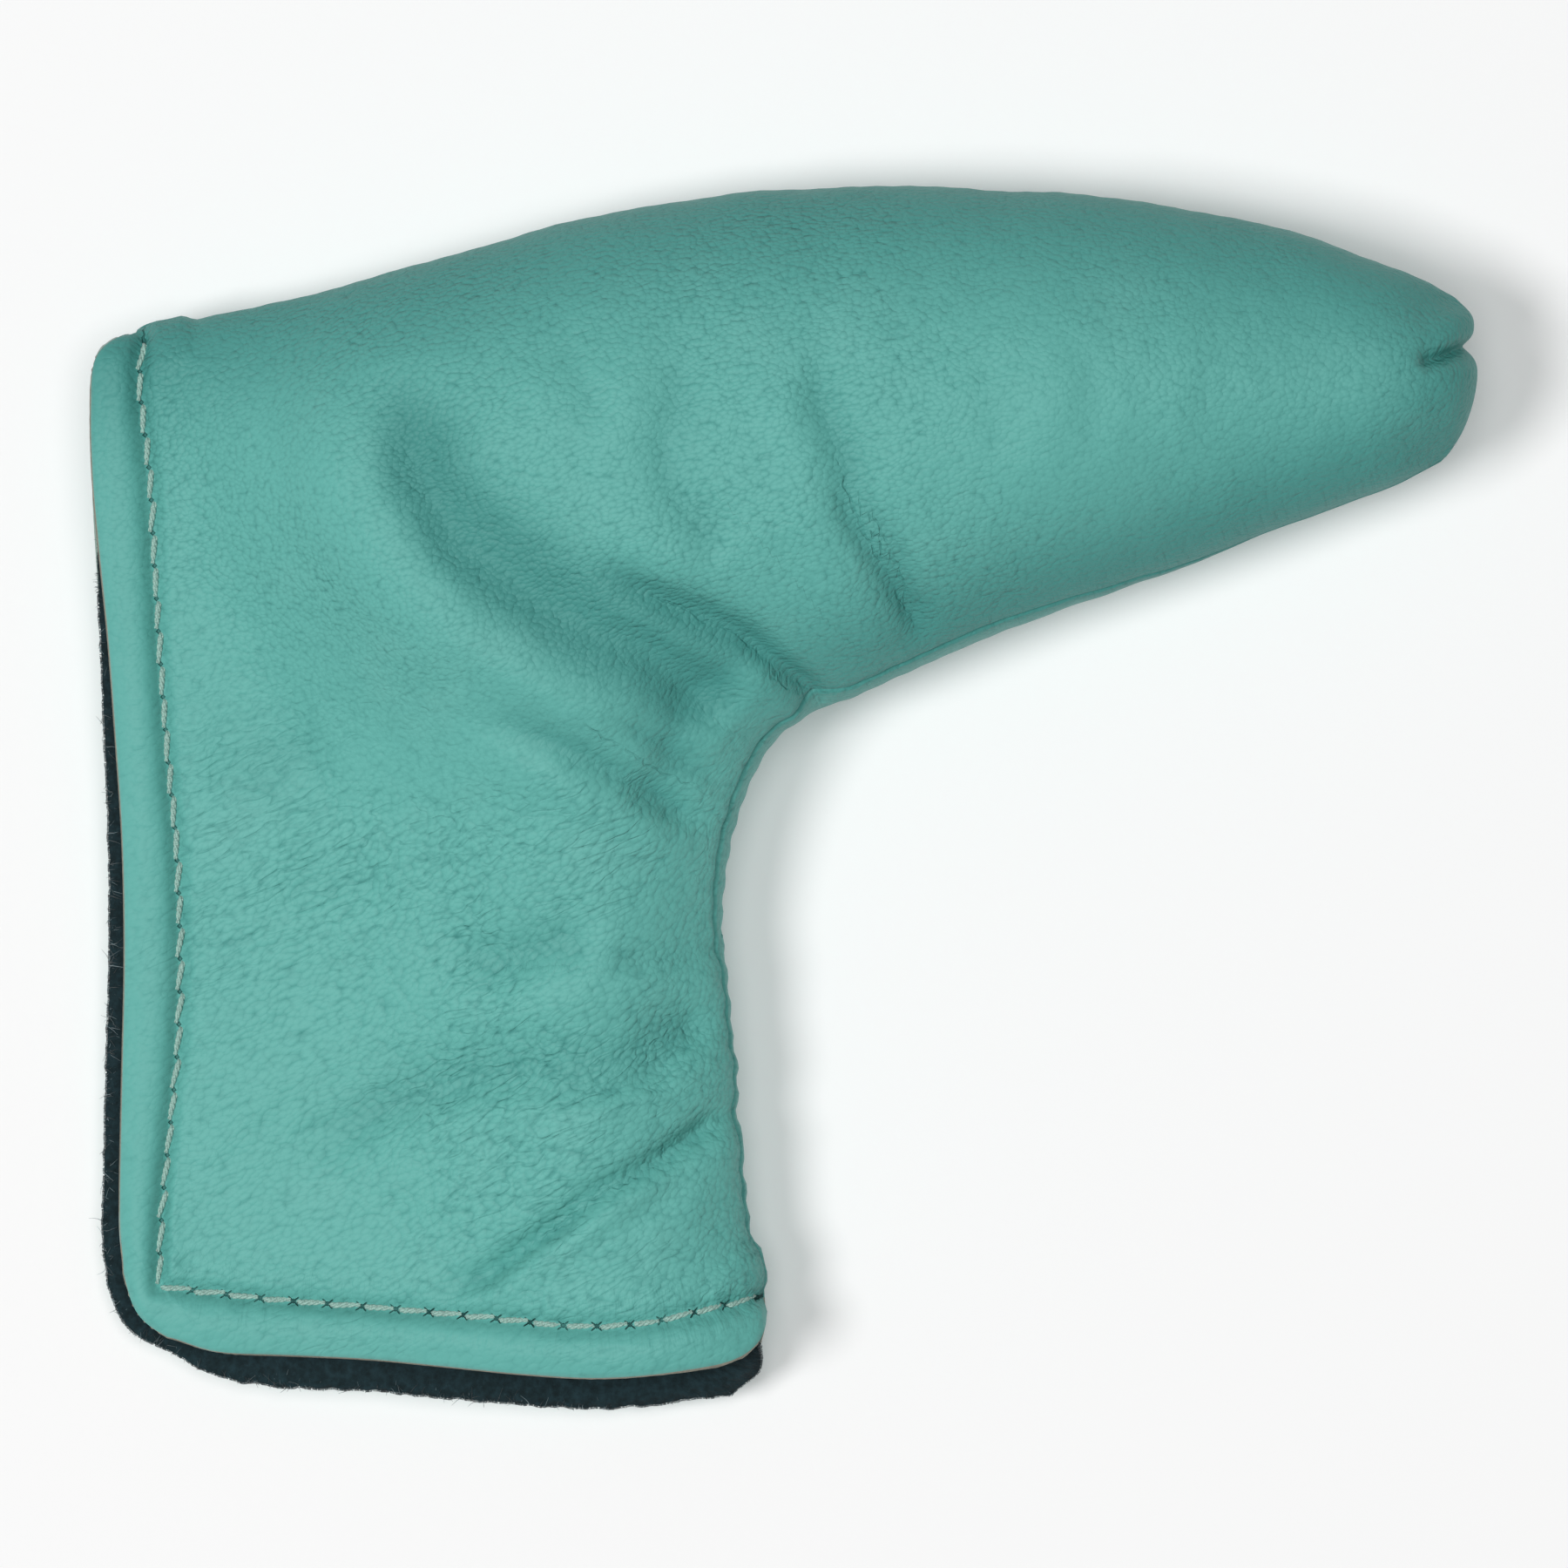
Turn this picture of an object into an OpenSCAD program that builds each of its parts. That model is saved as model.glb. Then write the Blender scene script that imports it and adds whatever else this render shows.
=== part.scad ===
// Blade putter head cover: two padded leather panels sewn round an L-shaped pocket, open down
// one side and along the foot, and closed there by a patch of hook and loop tape.
// The cover lies on its back panel. +X runs to the toe, +Y to the top of the head pocket,
// +Z up through the front panel. The origin is under the middle of the whole cover.

/* [Cover] */
// Length of the front panel along X, from the closure edge to the toe
cover_length = 159; // [150:1:168]
// Height of the front panel along Y, from the foot to the top of the head pocket
cover_height = 136.6; // [130:0.1:144]
// How far the back panel runs past the front panel along the closure edge
back_side_extra = 1.9; // [0.5:0.1:2.5]
// How far the back panel runs past the front panel along the foot
back_foot_extra = 3.6; // [2:0.1:5]

/* [Fullness] */
// Rise of the front panel above the seam over the middle of the head pocket
head_rise = 20.5; // [19:0.5:22]
// Rise of the front panel above the seam at the toe
toe_rise = 11.5; // [10:0.5:13]
// Rise of the front panel above the seam over the leg
leg_rise = 13; // [12:0.5:14]
// Height of the seam above the resting plane round the head pocket
seam_height = 18; // [17.5:0.5:19]
// Height of the seam plane above the resting plane at the closure corner
corner_height = 7; // [7:0.5:9]

/* [Layers] */
// Thickness of the leather
leather = 1.2; // [1:0.1:1.3]
// Thickness of the foam wadding
foam = 2; // [1.5:0.1:2.1]
// Thickness of the fleece lining
lining = 1.4; // [1:0.1:1.5]
// Free space between neighbouring layers
layer_gap = 0.15; // [0.1:0.01:0.18]

/* [Closure tape] */
// Width of the hook tape and of the loop tape
tape_width = 14; // [12:1:16]
// Length of the hook tape and of the loop tape
tape_length = 38; // [34:1:40]
// Thickness of each tape
tape = 0.95; // [0.8:0.05:1]

/* [Stitches] */
// Distance from one stitch to the next
stitch_pitch = 3.8; // [3.4:0.1:4.5]
// Length of the thread that shows in one stitch
stitch_length = 3; // [2.4:0.1:3.1]
// Diameter of the topstitching thread
thread = 0.8; // [0.6:0.1:0.9]
// Diameter of the thread inside the seams
seam_thread = 0.6; // [0.5:0.1:0.7]
// Distance of the topstitching from the free edge
stitch_inset = 5.8; // [5:0.1:6.5]

/* [Hidden] */
FRONT = 1;
BACK = -1;

// ---- Outline -------------------------------------------------------------------------------
// Ribs cross the panel from its outer edge (toe, top, heel, closure edge) to its inner edge
// (toe, underside, throat, leg, foot). Rib 14 joins the two ends of the opening, and every rib
// past FOLD_RIB lies in the flap of the panel that lifts.
RIBS = [
    [[77, 57.8], [76, 39]],       [[70, 61.3], [69.5, 35.8]],   [[58, 65.2], [58, 31.9]],
    [[44, 68.3], [44, 25.9]],     [[28, 70], [30, 21.3]],       [[10, 70.4], [18, 16.4]],
    [[-8, 69.4], [9, 12.4]],      [[-25, 66.3], [2.5, 9.8]],    [[-40, 62.2], [-2, 5.6]],
    [[-53, 58.6], [-5.3, -1.5]],  [[-64, 56.2], [-6.9, -11]],   [[-71, 54.6], [-6.2, -22]],
    [[-76, 53.4], [-5.3, -35]],   [[-79, 50.6], [-4, -48]],     [[-79.5, 45], [-1.9, -58.5]],
    [[-79.3, 37], [-4.5, -63.4]], [[-78.6, 29], [-12, -65.4]],  [[-77.6, 19], [-21, -66.2]],
    [[-76.8, 8], [-30, -65.8]],   [[-76, -5], [-39, -65]],      [[-75.8, -18], [-48, -64.2]],
    [[-76.1, -31], [-57, -63.8]], [[-76.4, -44], [-65, -63.5]], [[-76.5, -55], [-71.5, -62.4]]
];
DRAWN_SIZE = [159, 136.6];            // the size that RIBS draws
TOE_BOW = 3;                          // the toe end bulges past a straight rib
CORNER_BOW = 1;                       // and so does the closure corner
HEEL_END = 11.7;                      // the seam ends at these ribs on the outer edge
MOUTH_END = 13.9;                     // and on the inner edge
FOLD_RIB = 16.5;                      // the flap starts here
FOLD_GAP = 0.04;                      // in ribs, half the space between sleeve and flap
FOLD_MARGIN = 0.6;                    // and the stitches keep this far off the fold
STITCH_SUNK = 0.3;                    // share of the thread's diameter pressed into the leather
LAST_RIB = len(RIBS) - 1;
SLEEVE = [0, FOLD_RIB - FOLD_GAP];
FLAP = [FOLD_RIB + FOLD_GAP, LAST_RIB];
ACROSS = 14;                          // facets across a rib

// ---- Heights -------------------------------------------------------------------------------
stack = leather + foam + lining + 2 * layer_gap;
TAPE_MEET = 0.05;                     // half the space between the two tapes
TAPE_CLEARANCE = 0.1;                 // between a tape and the lining behind it
SEAM_GAP = 0.06;                      // half the space between front and back along the seam
hem_rise = stack + tape + TAPE_MEET + TAPE_CLEARANCE;
HEM_X = -77;                          // the closure edge, near enough straight
TAPE_FLAT = 21;                       // the panels lie flat this far in beside the tapes
FOOT_Y = -66;
HEAD_ROUND = 27;                      // how far in from the seam a panel is still rounding over
LEG_ROUND = 22;
TOE_ROUND = 9;
BACK_FULLNESS = 0.97;                 // the back panel is pressed a little flatter

function mix(a, b, w) = a + (b - a) * w;
function smooth(x) = let (c = min(1, max(0, x))) c * c * (3 - 2 * c);
function unit(v) = v / norm(v);

// A point on a smooth curve through a list of points; s counts along the list.
function spline(points, s) =
    let (
        n = len(points) - 1,
        i = max(0, min(floor(s), n - 1)),
        t = s - i,
        a = points[max(i - 1, 0)],
        b = points[i],
        c = points[i + 1],
        d = points[min(i + 2, n)]
    )
    0.5 * (2 * b + (c - a) * t + (2 * a - 5 * b + 4 * c - d) * t * t
        + (3 * b - a - 3 * c + d) * t * t * t);

function sized(p) = [p[0] * cover_length / DRAWN_SIZE[0], p[1] * cover_height / DRAWN_SIZE[1]];

// A point in plan on rib s, at share t of the way from its outer end to its inner end.
function plan(s, t, side) =
    let (
        rib = spline(RIBS, s),
        back = side == BACK ? 1 : 0,
        at_corner = smooth((s - 21) / 2),
        side_extra = back * back_side_extra * smooth((s - 13) / 8),
        foot_extra = back * back_foot_extra * smooth((s - MOUTH_END) / 1.5),
        outer = sized(rib[0]) - side_extra * [1, 0.8 * at_corner],
        inner = sized(rib[1]) - foot_extra * [0.1, 1 - 0.6 * at_corner],
        bow = 4 * t * (1 - t)
    )
    mix(outer, inner, t) + bow * (1 - smooth(s / 3)) * [TOE_BOW, 0]
        - bow * smooth(s - LAST_RIB + 1) * CORNER_BOW * [0.6, 0.8];

// Which way is inward at the end of a rib, in plan. Past the end of the seam the direction
// stays as it is there.
function inward(s, t) =
    let (
        last = t == 0 ? HEEL_END : MOUTH_END,
        at = min(s, last - 0.1),
        run = unit(plan(at + 0.1, t, FRONT) - plan(max(0, at - 0.1), t, FRONT))
    )
    (1 - smooth((s - last) / (FOLD_RIB - 0.2 - last))) * (t == 0 ? [-run[1], run[0]] : [run[1], -run[0]]);

// The point of rib s where a layer d under the outside of the panel lies, in plan.
function inset(s, t, side, d) =
    plan(s, t, side) + d * mix(inward(s, 0), inward(s, 1), t)
        - d * pow(max(0, 1 - s / 4), 2) * [1, 0];

// The sewn edge as a polyline: along the top from the heel end of the opening to the toe,
// round it, and back along the underside and the leg to the mouth.
SEAM = concat(
    [for (i = [0 : 48]) plan(HEEL_END * (1 - i / 48), 0, FRONT)],
    [for (i = [1 : 7]) plan(0, i / 8, FRONT)],
    [for (i = [0 : 56]) plan(MOUTH_END * i / 56, 1, FRONT)]
);

function to_segment(p, a, b) =
    let (d = b - a, w = min(1, max(0, (p - a) * d / (d * d)))) norm(p - a - w * d);
function to_seam(p) = min([for (i = [0 : len(SEAM) - 2]) to_segment(p, SEAM[i], SEAM[i + 1])]);

// Height of the seam plane over the resting plane.
function mid(p) =
    corner_height + (seam_height - corner_height)
        * (0.6 * smooth((p[1] + 60) / 110) + 0.4 * smooth((p[0] + 78) / 60));

// How far the outside of a panel stands off the seam plane where it isn't rounding over. Beside
// the closure it lies flat, at the height that the layers and the tape need.
function rise(p, side) =
    let (
        full = side == BACK ? BACK_FULLNESS : 1,
        head = mix(toe_rise, head_rise, smooth((78 - p[0]) / 50)) * full,
        body = mix(leg_rise * full, head, smooth((p[1] + 30) / 65)),
        flat = mix(TAPE_FLAT, 2, smooth((p[1] + 8) / 50)),
        from_closure = smooth((p[0] - HEM_X - flat) / 42),
        from_foot = mix(0.55, 1, smooth((p[1] - FOOT_Y) / 30))
    )
    hem_rise + (body - hem_rise) * from_closure * from_foot;

function reach(p, h) =
    let (body = mix(LEG_ROUND, HEAD_ROUND, smooth((p[1] + 10) / 30)))
    min(mix(TOE_ROUND, body, smooth((78 - p[0]) / 45)), h * h / (1.25 * stack));

// Height of the surface d under the outside of a panel. The back panel stops at the plane that
// the cover rests on.
function height(p, side, d) =
    let (
        h = rise(p, side),
        r = reach(p, h),
        u = min(1, max(0, r - to_seam(p)) / (r - d)),
        stand = (h - d) * sqrt(1 - u * u) + SEAM_GAP
    )
    side == FRONT ? mid(p) + stand : max(d, mid(p) - stand);

function with_height(p, side, d) = [p[0], p[1], height(p, side, d)];
function skin(s, t, side, d) = with_height(inset(s, t, side, d), side, d);

TOE_STATIONS = [0, 0.08, 0.3, 0.65, 1.1, 1.6];
function stations(span) =
    let (
        at_toe = span[0] == 0,
        first = at_toe ? 2.1 : span[0],
        n = ceil((span[1] - first) / 0.5)
    )
    concat(at_toe ? TOE_STATIONS : [], [for (i = [0 : n]) mix(first, span[1], i / n)]);
SHARES = [for (j = [0 : ACROSS]) (1 - cos(180 * j / ACROSS)) / 2];

// The whole outline in plan, and its middle, which becomes the origin.
OUTLINE = [
    for (side = [FRONT, BACK]) for (span = [SLEEVE, FLAP]) for (s = stations(span))
        for (t = [0, 0.5, 1]) plan(s, t, side)
];
function middle(values) = (min(values) + max(values)) / 2;
CENTRE = [middle([for (p = OUTLINE) p[0]]), middle([for (p = OUTLINE) p[1]]), 0];

// ---- Building blocks -----------------------------------------------------------------------
// A closed slab between two grids of points, the upper one on top.
module slab(upper, lower) {
    n = len(upper);
    m = len(upper[0]);
    points = concat([for (row = upper) each row], [for (row = lower) each row]);
    under = n * m;
    function at(i, j) = i * m + j;
    function both_ways(a, b, c, d) = [[a, b, c], [a, c, d]];
    top = [for (i = [0 : n - 2]) for (j = [0 : m - 2])
        each both_ways(at(i, j), at(i + 1, j), at(i + 1, j + 1), at(i, j + 1))];
    bottom = [for (f = top) [f[2] + under, f[1] + under, f[0] + under]];
    rim = concat(
        [for (i = [0 : n - 2]) [at(i, 0), at(i + 1, 0)]],
        [for (j = [0 : m - 2]) [at(n - 1, j), at(n - 1, j + 1)]],
        [for (i = [n - 1 : -1 : 1]) [at(i, m - 1), at(i - 1, m - 1)]],
        [for (j = [m - 1 : -1 : 1]) [at(0, j), at(0, j - 1)]]
    );
    wall = [for (e = rim) each both_ways(e[1], e[0], e[0] + under, e[1] + under)];
    polyhedron(points, concat(top, bottom, wall), convexity = 8);
}

// One layer of a panel, from depth d0 to depth d1 under its outside.
module layer(side, span, d0, d1) {
    surface = [for (d = [d0, d1]) [for (s = stations(span)) [for (t = SHARES) skin(s, t, side, d)]]];
    upper = side == FRONT ? surface[0] : surface[1];
    lower = side == FRONT ? surface[1] : surface[0];
    translate(-CENTRE) slab(upper, lower);
}

// A length of thread between two points.
module bar(a, b, d) {
    along = b - a;
    translate(a - CENTRE)
        rotate([0, acos(along[2] / norm(along)), atan2(along[1], along[0])])
            cylinder(h = norm(along), d = d, $fn = 16);
}

// Points on a path in plan, one stitch pitch apart, with both ends of the path left free.
function lengths(path, i = 0, so_far = 0) =
    i >= len(path) - 1 ? [[so_far, i]]
    : concat([[so_far, i]], lengths(path, i + 1, so_far + norm(path[i + 1] - path[i])));
function on_path(path, at) =
    let (i = min(floor(at), len(path) - 2)) mix(path[i], path[i + 1], at - i);
function spaced(path, pitch) =
    let (
        table = lengths(path),
        whole = table[len(table) - 1][0],
        n = floor(whole / pitch)
    )
    [for (k = [0 : n - 1]) on_path(path, lookup((k + 0.5) * whole / n, table))];

// How far a point in plan lies past the fold, on the flap's side of it.
function past_fold(p, side) =
    let (
        a = plan(FOLD_RIB, 0, side),
        run = unit(plan(FOLD_RIB, 1, side) - a)
    )
    (p - a) * [run[1], -run[0]];

// Stitches that lie along a path on the outside of a panel, pressed a little into the leather.
// Those on the sleeve are drawn for sign -1 and those on the flap for sign 1, and none crosses
// the fold.
module topstitches(path, side, sign) {
    lift = side * (0.5 - STITCH_SUNK) * thread * [0, 0, 1];
    places = spaced(path, stitch_pitch);
    for (k = [0 : len(places) - 1])
        if (sign * past_fold(places[k], side) > stitch_length / 2 + FOLD_MARGIN) {
            before = places[max(0, k - 1)];
            after = places[min(len(places) - 1, k + 1)];
            run = unit(after - before) * (stitch_length - thread) / 2;
            bar(
                with_height(places[k] - run, side, 0) + lift,
                with_height(places[k] + run, side, 0) + lift,
                thread
            );
        }
}

// Upright stitches through both panels.
STITCH_REACH = 0.9;                   // how far a stitch goes into each panel
module through_stitches(places, diameter, half_length) {
    for (p = places) {
        foot = [p[0], p[1], mid(p)];
        bar(foot - half_length * [0, 0, 1], foot + half_length * [0, 0, 1], diameter);
    }
}

// The two runs of topstitching, stitch_inset from the closure edge and from the foot.
module edge_stitches(side, sign) {
    closure_line = [for (s = [12.8 : 0.3 : 22.9]) plan(s, 0, side) + stitch_inset * [1, 0]];
    foot_line = [for (s = [14.5 : 0.3 : 22.9]) plan(s, 1, side) + stitch_inset * [0, 1]];
    color(PALE_THREAD) {
        topstitches(closure_line, side, sign);
        topstitches(foot_line, side, sign);
    }
}

// The tapes lie inside the flaps, beside the closure edge, clear of the fold.
TAPE_INSET = 4;
TAPE_TOP = -7;
TAPE_STITCH_INSET = 1.2;
function tape_point(u, v, side, off) =
    let (p = [HEM_X + TAPE_INSET + tape_width * u, TAPE_TOP - tape_length * v])
    [p[0], p[1], mid(p) + side * off];

module tape_strip(side) {
    offs = side == FRONT ? [TAPE_MEET + tape, TAPE_MEET] : [TAPE_MEET, TAPE_MEET + tape];
    faces = [for (off = offs) [for (i = [0 : 8]) [for (j = [0 : 3]) tape_point(j / 3, i / 8, side, off)]]];
    translate(-CENTRE) slab(faces[0], faces[1]);
}

module tape_stitches(side) {
    u = TAPE_STITCH_INSET / tape_width;
    v = TAPE_STITCH_INSET / tape_length;
    corners = [[u, v], [u, 1 - v], [1 - u, 1 - v], [1 - u, v], [u, v]];
    path = [for (c = corners) tape_point(c[0], c[1], side, 0)];
    for (p = spaced(path, stitch_pitch)) {
        foot = [p[0], p[1], mid(p)];
        bar(foot + side * 0.2 * [0, 0, 1], foot + side * (2 * tape) * [0, 0, 1], seam_thread - 0.1);
    }
}

// ---- Colours -------------------------------------------------------------------------------
TEAL = [0.34, 0.66, 0.62];
FLEECE = [0.07, 0.13, 0.15];
WADDING = [0.75, 0.76, 0.72];
PALE_THREAD = [0.62, 0.80, 0.75];
TAPE_BLACK = [0.08, 0.09, 0.10];

LEATHER_DEPTH = [0, leather];
FOAM_DEPTH = [leather + layer_gap, leather + layer_gap + foam];
LINING_DEPTH = [stack - lining, stack];

module leather_layer(side, span) color(TEAL) layer(side, span, LEATHER_DEPTH[0], LEATHER_DEPTH[1]);
module foam_layer(side, span) color(WADDING) layer(side, span, FOAM_DEPTH[0], FOAM_DEPTH[1]);
module lining_layer(side, span) color(FLEECE) layer(side, span, LINING_DEPTH[0], LINING_DEPTH[1]);

// ---- Sleeve --------------------------------------------------------------------------------
module front_leather() leather_layer(FRONT, SLEEVE);
module front_foam() foam_layer(FRONT, SLEEVE);
module front_lining() lining_layer(FRONT, SLEEVE);
module back_leather() leather_layer(BACK, SLEEVE);
module back_foam() foam_layer(BACK, SLEEVE);
module back_lining() lining_layer(BACK, SLEEVE);

module front_edge_stitches() edge_stitches(FRONT, -1);
module back_edge_stitches() edge_stitches(BACK, -1);

// The seams follow the facets of the panels, and stop short of both ends for the bar tacks.
SEAM_STATIONS = [for (s = stations(SLEEVE)) if (s < HEEL_END - 0.5) s];
LEG_STATIONS = [for (s = stations(SLEEVE)) if (s > 0 && s < MOUTH_END - 0.5) s];
function seam_path(d) = concat(
    [for (i = [len(SEAM_STATIONS) - 1 : -1 : 1]) inset(SEAM_STATIONS[i], 0, FRONT, d)],
    [for (t = SHARES) inset(0, t, FRONT, d)],
    [for (s = LEG_STATIONS) inset(s, 1, FRONT, d)]
);
module leather_seam_thread() {
    d = leather / 2;
    color(PALE_THREAD) through_stitches(spaced(seam_path(d), stitch_pitch), seam_thread, STITCH_REACH);
}
module lining_seam_thread() {
    d = stack - lining / 2;
    color(FLEECE) through_stitches(spaced(seam_path(d), stitch_pitch), seam_thread, STITCH_REACH);
}

// Close stitches that lock the two ends of the leather seam.
TACK_STITCHES = 4;
TACK_PITCH = 0.75;
TACK_INSET = 0.8;
module bar_tack(end, t) {
    last = inset(end - 0.05, t, FRONT, TACK_INSET);
    run = unit(inset(end - 0.4, t, FRONT, TACK_INSET) - last);
    places = [for (k = [0 : TACK_STITCHES - 1]) last + k * TACK_PITCH * run];
    color(PALE_THREAD) through_stitches(places, seam_thread, STITCH_REACH);
}
module heel_bar_tack() bar_tack(HEEL_END, 0);
module mouth_bar_tack() bar_tack(MOUTH_END, 1);

// ---- Flaps ---------------------------------------------------------------------------------
module front_flap_leather() leather_layer(FRONT, FLAP);
module front_flap_foam() foam_layer(FRONT, FLAP);
module front_flap_lining() lining_layer(FRONT, FLAP);
module back_flap_leather() leather_layer(BACK, FLAP);
module back_flap_foam() foam_layer(BACK, FLAP);
module back_flap_lining() lining_layer(BACK, FLAP);

module front_flap_stitches() edge_stitches(FRONT, 1);
module back_flap_stitches() edge_stitches(BACK, 1);

module hook_tape() color(TAPE_BLACK) tape_strip(FRONT);
module loop_tape() color(TAPE_BLACK) tape_strip(BACK);
module hook_tape_stitches() color(FLEECE) tape_stitches(FRONT);
module loop_tape_stitches() color(FLEECE) tape_stitches(BACK);

front_leather();
front_foam();
front_lining();
front_edge_stitches();
back_leather();
back_foam();
back_lining();
back_edge_stitches();
leather_seam_thread();
lining_seam_thread();
heel_bar_tack();
mouth_bar_tack();
front_flap_leather();
front_flap_foam();
front_flap_lining();
front_flap_stitches();
hook_tape();
hook_tape_stitches();
back_flap_leather();
back_flap_foam();
back_flap_lining();
back_flap_stitches();
loop_tape();
loop_tape_stitches();
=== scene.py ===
"""Looks of a blade putter head cover: leather panels, wadding, fleece, thread and closure tape.

Panel shapes are worked out in millimetres, in the plan coordinates that the CAD source draws in,
and turned into metres in the CAD frame when a mesh is made.
"""

import math

import bpy
import numpy as np
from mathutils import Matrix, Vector


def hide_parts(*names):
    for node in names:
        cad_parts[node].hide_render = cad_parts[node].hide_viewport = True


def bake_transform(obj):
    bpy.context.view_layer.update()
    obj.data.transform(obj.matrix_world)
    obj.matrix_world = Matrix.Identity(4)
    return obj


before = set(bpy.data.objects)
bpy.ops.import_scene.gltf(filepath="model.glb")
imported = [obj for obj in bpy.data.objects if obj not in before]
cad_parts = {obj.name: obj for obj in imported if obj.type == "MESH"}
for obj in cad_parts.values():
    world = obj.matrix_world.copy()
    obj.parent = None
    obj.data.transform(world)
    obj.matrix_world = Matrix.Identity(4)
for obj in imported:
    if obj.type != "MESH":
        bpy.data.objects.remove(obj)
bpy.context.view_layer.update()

MM = 0.001
FRONT, BACK = 1, -1

# ---- The panels as the CAD draws them --------------------------------------------------------
# Ribs cross a panel from its outer edge (toe, top, heel, closure edge) to its inner edge (toe,
# underside, throat, leg, foot).
RIBS = np.array([
    [[77, 57.8], [76, 39]],       [[70, 61.3], [69.5, 35.8]],   [[58, 65.2], [58, 31.9]],
    [[44, 68.3], [44, 25.9]],     [[28, 70], [30, 21.3]],       [[10, 70.4], [18, 16.4]],
    [[-8, 69.4], [9, 12.4]],      [[-25, 66.3], [2.5, 9.8]],    [[-40, 62.2], [-2, 5.6]],
    [[-53, 58.6], [-5.3, -1.5]],  [[-64, 56.2], [-6.9, -11]],   [[-71, 54.6], [-6.2, -22]],
    [[-76, 53.4], [-5.3, -35]],   [[-79, 50.6], [-4, -48]],     [[-79.5, 45], [-1.9, -58.5]],
    [[-79.3, 37], [-4.5, -63.4]], [[-78.6, 29], [-12, -65.4]],  [[-77.6, 19], [-21, -66.2]],
    [[-76.8, 8], [-30, -65.8]],   [[-76, -5], [-39, -65]],      [[-75.8, -18], [-48, -64.2]],
    [[-76.1, -31], [-57, -63.8]], [[-76.4, -44], [-65, -63.5]], [[-76.5, -55], [-71.5, -62.4]],
], float)
LAST_RIB = len(RIBS) - 1
HEEL_END, MOUTH_END, FOLD_RIB = 11.7, 13.9, 16.5
TOE_BOW, CORNER_BOW = 3, 1
CORNER_BLUNT, CORNER_REACH = 0.8, 4.0     # how far the free corner is drawn in, and over what reach
BACK_SIDE_EXTRA, BACK_FOOT_EXTRA = 1.9, 3.6
LEATHER, FOAM, LINING, LAYER_GAP, TAPE = 1.2, 2.0, 1.4, 0.15, 0.95
STACK = LEATHER + FOAM + LINING + 2 * LAYER_GAP
TAPE_MEET, TAPE_CLEARANCE = 0.05, 0.1
HEM_RISE = STACK + TAPE + TAPE_MEET + TAPE_CLEARANCE
SEAM_HEIGHT, CORNER_HEIGHT = 18, 7
HEAD_RISE, TOE_RISE, LEG_RISE = 20.5, 11.5, 13
HEAD_ROUND, LEG_ROUND, TOE_ROUND = 27, 34, 9
BACK_FULLNESS = 0.97
HEM_X, FOOT_Y, TOE_X = -77, -66, 78
CLOSURE_RUN = 42     # a panel rises from its closure edge over this width
OFF_FLOOR = 0.05     # nothing comes closer than this to the resting plane
REST_ROUND = 1.2     # rounds the back panel off where it comes down to the resting plane
KNOT = 12


def mix(a, b, w):
    return a + (b - a) * w


def smooth(x):
    c = np.clip(x, 0, 1)
    return c * c * (3 - 2 * c)


def unit(v):
    return v / np.linalg.norm(v, axis=-1, keepdims=True)


def spline(points, s):
    """A point on a smooth curve through a list of points; s counts along the list."""
    points = np.asarray(points, float)
    s = np.asarray(s, float)
    n = len(points) - 1
    i = np.clip(np.floor(s).astype(int), 0, n - 1)
    t = (s - i)[..., None]
    a, b = points[np.maximum(i - 1, 0)], points[i]
    c, d = points[i + 1], points[np.minimum(i + 2, n)]
    return 0.5 * (2 * b + (c - a) * t + (2 * a - 5 * b + 4 * c - d) * t**2
                  + (3 * b - a - 3 * c + d) * t**3)


def plan(s, t, side):
    """A point in plan on rib s, at share t of the way from its outer end to its inner end."""
    s, t = np.broadcast_arrays(np.asarray(s, float), np.asarray(t, float))
    back = float(side == BACK)
    corner = smooth((s - 21) / 2)
    side_extra = back * BACK_SIDE_EXTRA * smooth((s - 13) / 8)
    foot_extra = back * BACK_FOOT_EXTRA * smooth((s - MOUTH_END) / 1.5)
    outer = spline(RIBS[:, 0], s) - np.stack([side_extra, side_extra * 0.8 * corner], -1)
    inner = spline(RIBS[:, 1], s) - np.stack([foot_extra * 0.1, foot_extra * (1 - 0.6 * corner)], -1)
    bow = 4 * t * (1 - t)
    toe = bow * (1 - smooth(s / 3)) * TOE_BOW
    end = bow * smooth(s - LAST_RIB + 1) * CORNER_BOW
    p = mix(outer, inner, t[..., None]) + np.stack([toe - 0.6 * end, -0.8 * end], -1)
    back_extra = back * np.array([[1, 0.8], [0.1, 0.4]]) * [[BACK_SIDE_EXTRA], [BACK_FOOT_EXTRA]]
    for tip in RIBS[-1] - back_extra:
        blunt = CORNER_BLUNT * np.exp(-((p - tip) ** 2).sum(-1) / CORNER_REACH**2)
        p = p + blunt[..., None] * [0.6, 0.8]
    return p


def step_lengths(line):
    return np.linalg.norm(np.diff(line, axis=0), axis=1)


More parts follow.
